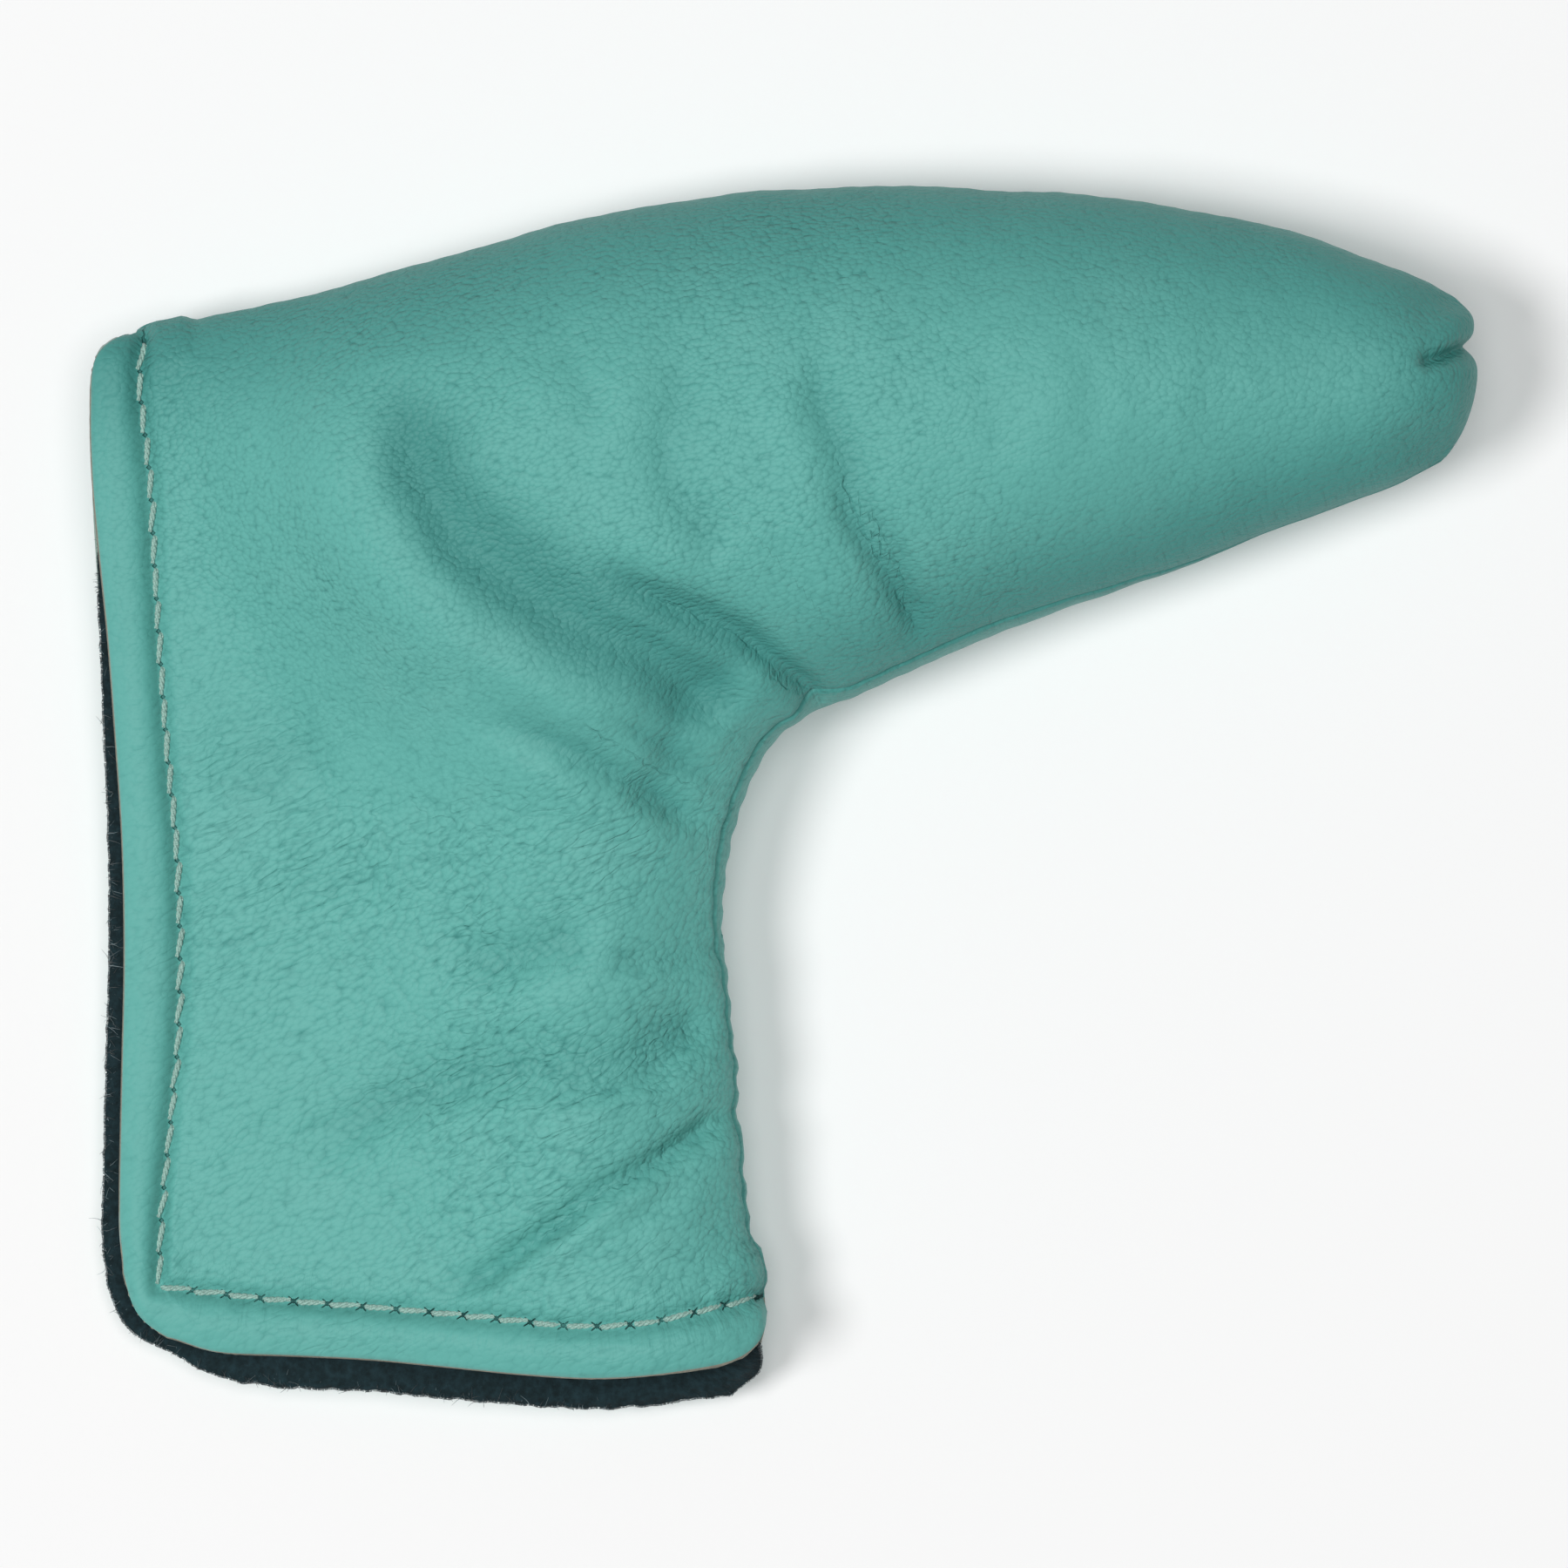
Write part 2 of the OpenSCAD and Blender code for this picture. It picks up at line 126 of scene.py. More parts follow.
def nearest(p, line):
    """Signed offset (positive to the left) and arc length of the nearest place on a line. A line
    of many points is searched near its nearest knot, and every KNOT-th point is a knot."""
    step = np.diff(line, axis=0)
    length = step_lengths(line)
    start = np.concatenate([[0], np.cumsum(length)[:-1]])
    flat = p.reshape(-1, 2)
    if len(step) > 4 * KNOT:
        knot = ((flat[:, None] - line[::KNOT]) ** 2).sum(-1).argmin(1) * KNOT
        pick = np.clip(knot[:, None] + np.arange(-KNOT, KNOT), 0, len(step) - 1)
    else:
        pick = np.broadcast_to(np.arange(len(step)), (len(flat), len(step)))
    rel = flat[:, None] - line[pick]
    run = step[pick]
    w = np.clip((rel * run).sum(-1) / length[pick] ** 2, 0, 1)
    off = rel - w[..., None] * run
    gap = np.hypot(off[..., 0], off[..., 1])
    row = np.arange(len(flat))
    best = gap.argmin(1)
    k = pick[row, best]
    left = step[k, 0] * off[row, best, 1] >= step[k, 1] * off[row, best, 0]
    offset = np.where(left, 1, -1) * gap[row, best]
    along = start[k] + w[row, best] * length[k]
    return offset.reshape(p.shape[:-1]), along.reshape(p.shape[:-1])


def distance_to(p, line):
    return np.abs(nearest(p, line)[0])


TOP_SEAM = plan(np.linspace(HEEL_END, 0, 800), 0, FRONT)
TOE_SEAM = plan(0, np.linspace(0, 1, 160), FRONT)
INNER_SEAM = plan(np.linspace(0, MOUTH_END, 800), 1, FRONT)


def free_edge(side):
    """The cut edge of a panel: down the closure side, round the corner and along the foot."""
    return np.concatenate([
        plan(np.linspace(HEEL_END, LAST_RIB, 60), 0, side),
        plan(LAST_RIB, np.linspace(0, 1, 9)[1:-1], side),
        plan(np.linspace(LAST_RIB, MOUTH_END, 60), 1, side),
    ])


FREE_EDGE = {side: free_edge(side) for side in (FRONT, BACK)}
OUTLINE = np.concatenate([FREE_EDGE[BACK], FREE_EDGE[FRONT], TOP_SEAM, TOE_SEAM, INNER_SEAM])
CENTRE = np.append((OUTLINE.min(0) + OUTLINE.max(0)) / 2, 0)


def mid(p):
    """Height of the seam plane over the resting plane."""
    share = 0.6 * smooth((p[..., 1] + 60) / 110) + 0.4 * smooth((p[..., 0] + 78) / 60)
    return mix(CORNER_HEIGHT, SEAM_HEIGHT, share)


def rise(p, side):
    """How far a panel stands off the seam plane where it isn't rounding over."""
    x, y = p[..., 0], p[..., 1]
    full = BACK_FULLNESS if side == BACK else 1
    head = mix(TOE_RISE, HEAD_RISE, smooth((TOE_X - x) / 50)) * full
    body = mix(LEG_RISE * full, head, smooth((y + 30) / 65))
    flat = mix(21, 2, smooth((y + 8) / 50))
    run = CLOSURE_RUN - 9 * smooth((y + 5) / 25) * (side == FRONT)
    from_closure = smooth((x - HEM_X - flat) / run)
    from_foot = mix(0.55, 1, smooth((y - FOOT_Y) / 30))
    return HEM_RISE + (body - HEM_RISE) * from_closure * from_foot


def reach(p, h):
    """How far in from a seam a panel is still rounding over."""
    body = mix(LEG_ROUND, HEAD_ROUND, smooth((p[..., 1] + 10) / 30))
    wide = mix(TOE_ROUND, body, smooth((TOE_X - p[..., 0]) / 45))
    low = h * h / (1.25 * STACK)
    return (wide**-6 + low**-6) ** (-1 / 6)


def height(p, side):
    """Height of a panel's outside, rounded over towards each of its seams."""
    h = rise(p, side)
    r = reach(p, h)
    stand = h
    for seam in (TOP_SEAM, TOE_SEAM, INNER_SEAM):
        u = np.clip(1 - distance_to(p, seam) / r, 0, 1)
        stand = stand * np.sqrt(1 - u * u)
    if side == FRONT:
        return mid(p) + stand
    low = mid(p) - stand
    return 0.5 * (low + np.sqrt(low * low + REST_ROUND))


# ---- Relief of the leather ---------------------------------------------------------------------
def noise(p, size, seed):
    """Smooth noise over plan points, about -1 to 1, with features of a size in millimetres."""
    cells = 97
    angle = np.random.default_rng(seed).uniform(0, 2 * np.pi, (cells, cells))
    q = p / size
    cell = np.floor(q).astype(int)
    f = q - cell
    w = f**3 * (f * (f * 6 - 15) + 10)

    def corner(i, j):
        a = angle[(cell[..., 0] + i) % cells, (cell[..., 1] + j) % cells]
        return np.cos(a) * (f[..., 0] - i) + np.sin(a) * (f[..., 1] - j)

    low = mix(corner(0, 0), corner(1, 0), w[..., 0])
    high = mix(corner(0, 1), corner(1, 1), w[..., 0])
    return 1.5 * mix(low, high, w[..., 1])


def warped(p, size, amount, seed):
    """Plan points moved about a little, so that what is drawn over them isn't regular."""
    return p + amount * np.stack([noise(p, size, seed), noise(p, size, seed + 1)], -1)


FADE_IN, FADE_OUT = 13, 5
FAR_SIDE = 1.45      # a fold is this much gentler on the left of its route
# Each fold: its route in plan, half width, depth, and the height of the bulge to the right of it.
FRONT_FOLDS = [
    ([(-43.8, 52), (-43.6, 44), (-42, 36), (-36.0, 28.4), (-28.6, 22.6), (-20.2, 18.2), (-13, 14.5),
      (-6, 8)], 4.6, 3.2, 1.1),
    ([(-24, 28), (-16.4, 23.6), (-10.7, 20.7), (-4.9, 17.6), (-0.1, 14.2), (6, 10)], 1.5, 1.8, 0.5),
    ([(-10, 57), (-12.3, 45), (-13.5, 39.5), (-10.7, 33), (-5.5, 27)], 2.8, 0.9, 0.3),
    ([(2, 56), (4.7, 44.5), (6.7, 38.5), (8, 32.5), (10.8, 27.5), (14.3, 21.4), (17, 17.5)], 2.4, 1.3, 0.4),
    ([(6.5, 37), (7.8, 31), (11, 26.5), (14.5, 21), (16.8, 17.6)], 0.8, 0.4, 0.1),
    ([(8.8, 36), (11.5, 31), (14.8, 25)], 0.8, 0.4, 0.1),
    ([(-26.5, 55), (-23.6, 49), (-20.5, 42)], 2.5, 0.5, 0.1),
    ([(-38, 10.5), (-26.6, 5.9), (-20, 3), (-15.8, 0.9), (-8, -3)], 1.9, 1.6, 0.5),
    ([(-22, 10.5), (-12.5, 4.9), (-5, 0.5)], 1.3, 0.9, 0.3),
    ([(-44, 17), (-32, 12), (-20.3, 7), (-9, 2)], 4.2, 1.3, 0.2),
    ([(-42, -18), (-34, -18.4), (-28, -17.1), (-20, -15.9)], 2.8, 1.7, 0.4),
    ([(-24, -18.5), (-14, -18), (-5.5, -16.5)], 1.8, 0.9, 0.3),
    ([(-58, -43), (-47, -36), (-38, -32.2), (-28, -30.4), (-18, -29.4), (-11, -26.1), (-6, -23)],
     2.8, 1.6, 0.4),
    ([(-36, -34.5), (-22, -33.2), (-11, -31)], 1.0, 0.7, 0.2),
    ([(-50, -63.5), (-42, -59), (-34, -54.5), (-26, -48.6), (-20, -44.5), (-13, -41), (-5, -35)],
     1.2, 2.0, 0.7),
    ([(-19, -50), (-11, -42.6), (-5.5, -37)], 1.4, 0.8, 0.3),
    ([(-19, -33), (-12.5, -29.6), (-7, -24)], 1.1, 0.7, 0.2),
    ([(-64, -2), (-59, 3), (-51, 7)], 4.5, 0.8, 0.0),
    ([(-60, -9), (-53, -10), (-44, -9)], 2.8, 0.6, 0.1),
    ([(24, 52), (23, 46), (25, 38)], 1.8, 0.3, 0.1),
    ([(34, 54), (35, 46), (34, 38)], 1.8, 0.3, 0.1),
    ([(49, 51), (48, 46), (49, 41)], 1.8, 0.25, 0.1),
]
BACK_FOLDS = [
    ([(-36, 36), (-26, 24), (-14, 14), (-4, 7)], 3.2, 1.6, 0.6),
    ([(-14, 30), (-4, 20), (5, 11)], 1.6, 1.3, 0.6),
    ([(8, 44), (12, 32), (18, 18)], 2.0, 1.0, 0.4),
    ([(-30, 6), (-18, 1), (-6, -3)], 2.4, 1.0, 0.4),
    ([(-34, -26), (-20, -24), (-6, -21)], 2.6, 0.9, 0.4),
    ([(-30, -48), (-18, -42), (-5, -36)], 2.0, 0.9, 0.4),
]
# Where the leather is folded so sharply that its surface cracks.
CRACKS = {
    FRONT: [
        [(-16, 23.6), (-9, 19.8), (-4, 17), (0.5, 13.4), (4.5, 11.6)],
        [(-3, 15.2), (1, 12.4), (3.2, 10.2)],
        [(5.4, 40), (7.8, 34), (10.2, 28.3), (14, 21.6), (16.2, 18.4)],
        [(9.4, 34.5), (12, 28.5), (15, 22.5)],
        [(-24, 9.5), (-15.5, 4.1), (-7.8, 0.3)],
        [(-30, -51.6), (-22, -46), (-15, -42.2)],
    ],
    BACK: [
        [(-14, 14), (-6, 8.6), (0, 6)],
    ],
}
TOE_PLEAT = ([(82, 53.4), (77.5, 51.9), (74.2, 50.7)], 0.8, 2.1)
TOE_DIMPLE = (74, 50.6)
CREASE_HEADING = 28  # degrees from +X to the way that the small creases run


def route(points, step=0.25):
    return spline(points, np.arange(0, len(points) - 1 + step / 2, step))


def run_length(line):
    return step_lengths(line).sum()


def fold(p, points, width, depth, bulge):
    """One crease that fades out at both ends, with the leather bulging out to the right of it."""
    line = route(points)
    offset, along = nearest(p, line)
    whole = run_length(line)
    fade_in, fade_out = min(FADE_IN, 0.4 * whole), min(FADE_OUT, 0.3 * whole)
    fade = smooth(along / fade_in) * smooth((whole - along) / fade_out)
    u = offset / (width * np.where(offset > 0, FAR_SIDE, 1))
    end = np.exp(-np.maximum(0, np.abs(u) - 3))
    return fade * end * (bulge * np.exp(-((u + 1.9) / 1.2) ** 2) - depth * np.exp(-np.abs(u) ** 1.6))


def folds(p, side):
    crooked = warped(p, 9, 0.7, 40)
    return sum(fold(crooked, *f) for f in (FRONT_FOLDS if side == FRONT else BACK_FOLDS))


def nearest_crack(p, side):
    """Signed distance to the nearest crack, and how strong it is there."""
    distance, strength = np.full(len(p), 99.0), np.zeros(len(p))
    for points in CRACKS[side]:
        line = route(points)
        offset, along = nearest(p, line)
        fade = smooth(along / 3) * smooth((run_length(line) - along) / 3)
        closer = np.abs(offset) < np.abs(distance)
        distance = np.where(closer, offset, distance)
        strength = np.where(closer, fade, strength)
    return distance, strength


def toe_relief(p):
    """The pleat where the seam turns the toe, and the dimple at its end."""
    points, width, depth = TOE_PLEAT
    offset, along = nearest(p, route(points))
    to_end = run_length(route(points)) - along
    below = np.where(offset > 0, 1.7, 0.8)
    pleat = np.exp(-np.abs(offset / (width * below)) ** 1.5) * smooth(to_end / 3 + 0.3)
    pleat = pleat * mix(0.5, 1, smooth((along - 2) / 3))
    above = np.where(offset < 0, 0.8, 0.15)
    lips = above * np.exp(-((np.abs(offset) - 2.8) / 1.9) ** 2) * smooth(to_end / 4)
    dimple = np.exp(-((p - TOE_DIMPLE) ** 2).sum(-1) / 1.3**2)
    return lips - depth * pleat - 1.3 * dimple


def undulation(p):
    """The uneven surface of soft leather over wadding: blotches, and creases that run one way."""
    turn = math.radians(CREASE_HEADING)
    along = p[..., 0] * math.cos(turn) + p[..., 1] * math.sin(turn)
    across = p[..., 1] * math.cos(turn) - p[..., 0] * math.sin(turn)
    creased = noise(np.stack([along / 3.2, across], -1), 2.6, 5)
    on_leg = smooth((14 - p[..., 1]) / 24)
    return (0.30 * noise(p, 17, 1) + 0.14 * noise(p, 7, 2) + 0.05 * noise(p, 3.2, 3)
            + 0.14 * on_leg * creased)


# ---- Hem ------------------------------------------------------------------------------------
STITCH_PITCH = 3.8
STITCH_LENGTH = 3.45
STITCH_SLANTS = (-9, 5)
THREAD = 0.66
STITCH_INSET = 5.8
FRONT_STITCH_SIDE = [
    (-73.6, 53.2), (-74, 47.5), (-72.8, 36), (-72, 22), (-71, 7), (-69.9, -5), (-69.5, -16),
    (-69.7, -27), (-70.6, -37), (-71.6, -47), (-72, -55.9),
]
FRONT_STITCH_FOOT = [
    (-72, -55.9), (-60, -57.3), (-47, -58.3), (-34, -59.4), (-25, -60.3), (-17, -60.1),
    (-10, -58.7), (-2.4, -57),
]


def stitch_line(side):
    """The two runs of topstitching, which meet at a corner."""
    if side == FRONT:
        return route(FRONT_STITCH_SIDE), route(FRONT_STITCH_FOOT)
    down = plan(np.linspace(12.8, 22.9, 60), 0, side) + [STITCH_INSET, 0]
    foot = plan(np.linspace(22.9, 14.5, 60), 1, side) + [0, STITCH_INSET]
    level = foot[0, 1]
    right_of = down[-1, 0]
    return down[down[:, 1] > level], foot[foot[:, 0] > right_of]


def spaced(line, pitch):
    """Points along a line at the pitch nearest to one that fits it, and which way the line runs."""
    length = np.concatenate([[0], np.cumsum(step_lengths(line))])
    n = round(length[-1] / pitch)
    at = (np.arange(n) + 0.5) * length[-1] / n

    def place(distance):
        return np.stack([np.interp(distance, length, line[:, k]) for k in (0, 1)], -1)

    return place(at), unit(place(at + 0.5) - place(at - 0.5)), length[-1] / n


def hem_relief(p, side):
    """The padded band outside the topstitching, the groove that it lies in, and the cut edge."""
    edge = distance_to(p, FREE_EDGE[side])
    down, foot = stitch_line(side)
    offset, along = nearest(p, np.concatenate([down, foot[1:]]))
    gap = np.abs(offset)
    groove = 0.85 * np.exp(-((gap / 1.0) ** 2)) + 0.3 * np.exp(-gap / 2.2)
    between = edge / (edge + gap + 0.01)
    band = 0.8 * np.sin(np.pi * np.clip(between, 0, 1)) * smooth((7.5 - edge) / 2)
    beat = np.cos(2 * np.pi * along / STITCH_PITCH)
    uneven = noise(np.stack([along / 2.1, offset / 9], -1), 1.0, 12)
    from_corner = np.abs(along - run_length(down))
    pucker = (0.10 * beat + 0.16 * uneven) * np.exp(-((gap / 2.6) ** 2)) * smooth((from_corner - gap) / 1.5)
    corner = np.clip(1 - edge / 0.55, 0, 1)
    return band - groove + pucker - 0.5 * (1 - np.sqrt(1 - corner**2))


def relief(p, side):
    """How far the leather stands out from the plain shape of its panel."""
    inside = smooth((distance_to(p, FREE_EDGE[side]) - 6) / 6)
    creased = folds(p, side) * inside + undulation(p) * mix(0.35, 1, inside)
    return creased + toe_relief(p) + hem_relief(p, side)


# ---- Lining pile and closure tape: sizes ---------------------------------------------------------
FIBRE = 0.045        # radius of a pile fibre at its root
TAPE_INSET, TAPE_TOP, TAPE_WIDTH, TAPE_LENGTH = 4, -7, 14, 38
TAPE_BACKING, TAPE_BORDER = 0.35, 1.6
HOOK_PITCH, HOOK_THICK = 1.1, 0.16
LOOP_PITCH, LOOP_THICK = 0.72, 0.08
# A hook from its root to its tip: how far along and how far up, in heights of the nap.
HOOK_OUTLINE = [(0, -0.1), (0, 0.45), (0.06, 0.82), (0.26, 0.9), (0.42, 0.72), (0.42, 0.55)]

# ---- Grids over a panel ------------------------------------------------------------------------
ROLL = 0.75          # leather rolls in this far where it meets the other panel in a seam
TURN = 1.1           # the back leather turns this far onto the front, along the inner edge
HAIR = 0.05          # and this much where the turn has run out
TURN_COLUMNS = 10
RIB_LENGTH = 9       # about how far apart the ribs are along the cut edge
TOE_CORE = (62, 48, 18)
NARROWEST = 6        # a panel counts as no narrower than this at the closure corner


def rib_stations(count):
    """Ribs for the rows of a grid: close together at the toe, then about evenly spaced."""
    toe_rows = count // 11
    toe = 1.2 * (np.arange(toe_rows) / toe_rows) ** 2
    fine = np.linspace(1.2, LAST_RIB, 900)
    steps = [step_lengths(plan(fine, t, BACK)) for t in (0, 1)]
    length = np.concatenate([[0], np.cumsum(np.maximum(*steps))])
    return np.concatenate([toe, np.interp(np.linspace(0, length[-1], count - toe_rows), length, fine)])


def shares(s, count):
    """Shares across each rib: close together at a seam, and more even where the edges are cut."""
    even = np.linspace(0, 1, count)
    round_ends = (1 - np.cos(np.pi * even)) / 2
    return mix(round_ends, even, 0.55 * smooth((s[:, None] - 12) / 2.5))


def width_at(s, side):
    """Width of a panel at rib s, square to its inner edge."""
    near = 0.95
    inner_edge = np.concatenate([INNER_SEAM, FREE_EDGE[side][-2::-1]])
    return np.maximum(distance_to(plan(s, near, side), inner_edge) / (1 - near), NARROWEST)


def turned(s):
    """How far, in plan, the back leather turns onto the front at the inner end of rib s."""
    along = smooth((s - 2.2) / 2.5) * (1 - 0.75 * smooth((s - 9.5) / 2)) * smooth((MOUTH_END - s) / 1.2)
    return np.where(s <= MOUTH_END, HAIR + TURN * along, 0)


def arc(points, axis, from_end=False):
    """Length of the grid lines from their first (or last) point."""
    step = np.linalg.norm(np.diff(points, axis=axis), axis=-1)
    length = np.insert(np.cumsum(step, axis=axis), 0, 0, axis=axis)
    return np.take(length, [-1], axis=axis) - length if from_end else length


def along_seam(s, t):
    """Length along the seam to rib s, which drives the puckers beside it."""
    fine = np.linspace(0, LAST_RIB, 400)
    return np.interp(s, fine, np.concatenate([[0], np.cumsum(step_lengths(plan(fine, t, FRONT)))]))


def ragged_edge(s, t):
    """How far in from its line a cut edge wanders, from 0 to about 1."""
    place = np.stack([along_seam(s, t), 0 * s + 40 * t], -1)
    return 0.5 + 0.35 * noise(place, 2.9, 21) + 0.35 * noise(place, 1.1, 22)


def seam_relief(s, points, turn_arc, from_inner):
    """The leather's roll into the seam, and the puckers that the seam draws up."""
    far = 1e3
    top = np.where(s[:, None] < HEEL_END, arc(points, 1), far)
    toe = arc(points, 0)
    inner = np.where(s[:, None] < MOUTH_END, turn_arc, far)
    gap = np.minimum(np.minimum(top, toe), inner)
    held_top = smooth((HEEL_END - s) / 0.25)[:, None]
    held_inner = smooth((MOUTH_END - s) / 0.6)[:, None]
    held = np.where(top < inner, held_top, held_inner)
    u = np.clip(1 - gap / ROLL, 0, 1)
    roll = ROLL * (1 - np.sqrt(1 - u * u))
    at_top, at_inner = along_seam(s, 0)[:, None], along_seam(s, 1)[:, None]
    in_leg = smooth((s - 8.5) / 1.5)[:, None]
    puckers_top = 0.04 * np.cos(2 * np.pi * at_top / 3.4) * np.exp(-top / 2.5)
    uneven = 1 + 0.8 * noise(np.stack([at_inner + 0 * gap, 0 * gap], -1), 8, 9)
    past_toe = smooth((s - 3) / 4)[:, None]
    puckers_inner = (past_toe * mix(0.06, 0.14, in_leg) * uneven * np.cos(2 * np.pi * at_inner / 3.5)
                     * np.exp(-from_inner / 3))
    return -held * roll + held_top * puckers_top + held_inner * puckers_inner


def quads(index, side):
    """Faces over a grid of vertex numbers, seen from outside the panel."""
    a, b, c, d = index[:-1, :-1], index[1:, :-1], index[1:, 1:], index[:-1, 1:]
    loop = (a, b, c, d) if side == FRONT else (d, c, b, a)
    return np.stack([x.ravel() for x in loop], -1)


def surface(s, t, side):
    """Points over a grid of ribs and shares, on the plain shape of a panel."""
    flat = plan(s[:, None], t, side)
    return np.dstack([flat, height(flat, side)])


def grid_normals(points, side):
    return side * np.cross(np.gradient(points, axis=0), np.gradient(points, axis=1))


def rib_ends(s, width, inset, ragged, proud):
    """The shares at which the ribs of a layer start and stop. A layer ends an inset short of the
    panel's cut edge, or runs proud past it, and its own cut edge is more or less ragged."""
    outer, inner = smooth((s - HEEL_END) / 0.6), smooth((s - MOUTH_END) / 0.6)
    past_closure = proud * smooth((s - 15) / 2)
    first = (inset - past_closure + ragged * ragged_edge(s, 0)) / width * outer
    last = 1 - (inset - proud + ragged * ragged_edge(s, 1)) / width * inner
    return first, last


def wrapped(s, turn, plain, out, lift, rib):
    """The strip of back leather that turns onto the front of the cover, as a grid of its own. The
    back panel's own grid is made to run smoothly into it."""
    n = int((s <= MOUTH_END).sum())
    columns = plain.shape[1]
    back_to = 1 - turn[:n, None] * np.linspace(0, 1, TURN_COLUMNS + 1)
    wide = np.concatenate([plain[:n], surface(s[:n], back_to, FRONT)[:, 1:]], axis=1)
    to_end = arc(wide, 1, from_end=True)
    flat = wide[..., :2]
    wide_lift = mix(relief(flat, FRONT), relief(flat, BACK), smooth(to_end / 4 - 0.4))
    from_silhouette = np.abs(to_end - to_end[:, [columns - 1]])
    wide_lift += seam_relief(s[:n], wide, to_end, from_silhouette)
    wide_out = grid_normals(wide, BACK)
    out[:n] = wide_out[:, :columns]
    lift[:n] = wide_lift[:, :columns]
    strip = np.s_[:, columns:]
    return wide[strip], wide_out[strip], wide_lift[strip], rib[:n, :TURN_COLUMNS]


class Panel:
    """One panel as a grid: its plain points, the directions that its layers are stacked in, the
    relief of its leather, and faces between the points."""

    def __init__(self, side, rows, columns, inset=0.0, wraps=True, ragged=0.0, proud=0.0):
        self.side = side
        s = rib_stations(rows) * (1 - (inset - proud) / RIB_LENGTH / LAST_RIB)
        width = width_at(s, side)
        turn = turned(s) / width if wraps else 0 * s
        first, last = rib_ends(s, width, inset, ragged, proud)
        if side == FRONT:
            last = last - turn
        plain = surface(s, mix(first[:, None], last[:, None], shares(s, columns)), side)
        out = grid_normals(plain, side)
        to_end = arc(plain, 1, from_end=True)
        lift = relief(plain[..., :2], side) + seam_relief(s, plain, to_end, to_end)
        rib = np.repeat(s[:, None], columns, axis=1)
        index = np.arange(rows * columns).reshape(rows, columns)
        faces = [quads(index, side)]
        grids = [(plain, out, lift, rib)]
        if side == BACK and wraps:
            strip = wrapped(s, turn, *grids[0])
            n = len(strip[0])
            strip_index = index.size + np.arange(n * TURN_COLUMNS).reshape(n, TURN_COLUMNS)
            faces.append(quads(np.concatenate([index[:n, -1:], strip_index], axis=1), side))
            grids.append(strip)
        self.plain, out = (np.concatenate([g[k].reshape(-1, 3) for g in grids]) for k in (0, 1))
        self.relief, self.rib = (np.concatenate([g[k].ravel() for g in grids]) for k in (2, 3))
        self.out = self.toe_corrected(unit(out))
        if side == BACK:
            self.relief = self.relief * smooth(self.plain[:, 2] / 2.5)
        self.faces = np.concatenate(faces)
        self.edge = distance_to(self.plain[:, :2], FREE_EDGE[side])

    def toe_corrected(self, out):
        """Near the toe's two corners the grid shrinks to nothing, and out is away from TOE_CORE."""
        from_core = unit(self.plain - TOE_CORE)
        for corner in RIBS[0]:
            near = np.exp(-((self.plain[:, :2] - corner) ** 2).sum(-1) / 1.6**2)
            out = unit(mix(out, from_core, np.clip(1.6 * near, 0, 1)[:, None]))
        return out

    def at_depth(self, depth):
        """Points a depth under the outside. Deeper layers follow the relief less and less."""
        lift = self.relief * (1 - depth / STACK) - depth
        points = self.plain + self.out * lift[:, None]
        points[:, 2] = np.maximum(points[:, 2], OFF_FLOOR)
        return points


# ---- Meshes ------------------------------------------------------------------------------------
def to_frame(points):
    """Points in the CAD source's millimetres as metres in the CAD frame."""
    return (np.asarray(points, float) - CENTRE) * MM


def make_mesh(name, points, faces, materials, kinds=None, attributes=None):
    """A smooth-shaded object from points in millimetres, faces, and a material number per face."""
    mesh = bpy.data.meshes.new(name)
    mesh.from_pydata(to_frame(points).tolist(), [], [list(map(int, f)) for f in faces])
    mesh.update()
    for material in materials:
        mesh.materials.append(material)
    if kinds is not None:
        mesh.polygons.foreach_set("material_index", np.asarray(kinds, np.int32))
    mesh.polygons.foreach_set("use_smooth", np.ones(len(mesh.polygons), bool))
    for key, values in (attributes or {}).items():
        values = np.asarray(values, np.float32)
        kind = "FLOAT_VECTOR" if values.ndim == 2 else "FLOAT"
        layer = mesh.attributes.new(key, kind, "POINT")
        layer.data.foreach_set("vector" if values.ndim == 2 else "value", values.ravel())
    obj = bpy.data.objects.new(name, mesh)
    bpy.context.scene.collection.objects.link(obj)
    return obj


def boundary(faces, count):
    """Edges that belong to one face only, in that face's direction."""
    a = faces.ravel()
    b = np.roll(faces, -1, axis=1).ravel()
    alone = ~np.isin(a * count + b, b * count + a)
    return a[alone], b[alone]


def closed(faces, count):
    """Faces of a closed skin over count points and as many under them: top, bottom and rim."""
    a, b = boundary(faces, count)
    rim = np.stack([b, a, a + count, b + count], -1)
    kinds = np.repeat([0, 1, 2], [len(faces), len(faces), len(rim)])
    return np.concatenate([faces, faces[:, ::-1] + count, rim]), kinds


def shell(name, panel, depths, materials, attributes, spread=0.0):
    """A closed layer of a panel between two depths; materials are outside, inside and cut edge.
    The inside of the layer may spread a little past the outside, at the cut edge."""
    outer, inner = (panel.at_depth(d) for d in depths)
    if spread:
        inner = inner + spread * edge_direction(panel) * np.exp(-panel.edge / 0.5)[:, None]
    faces, kinds = closed(panel.faces, len(panel.plain))
    both = {k: np.concatenate([v, v]) for k, v in attributes.items()}
    return make_mesh(name, np.concatenate([outer, inner]), faces, materials, kinds, both)


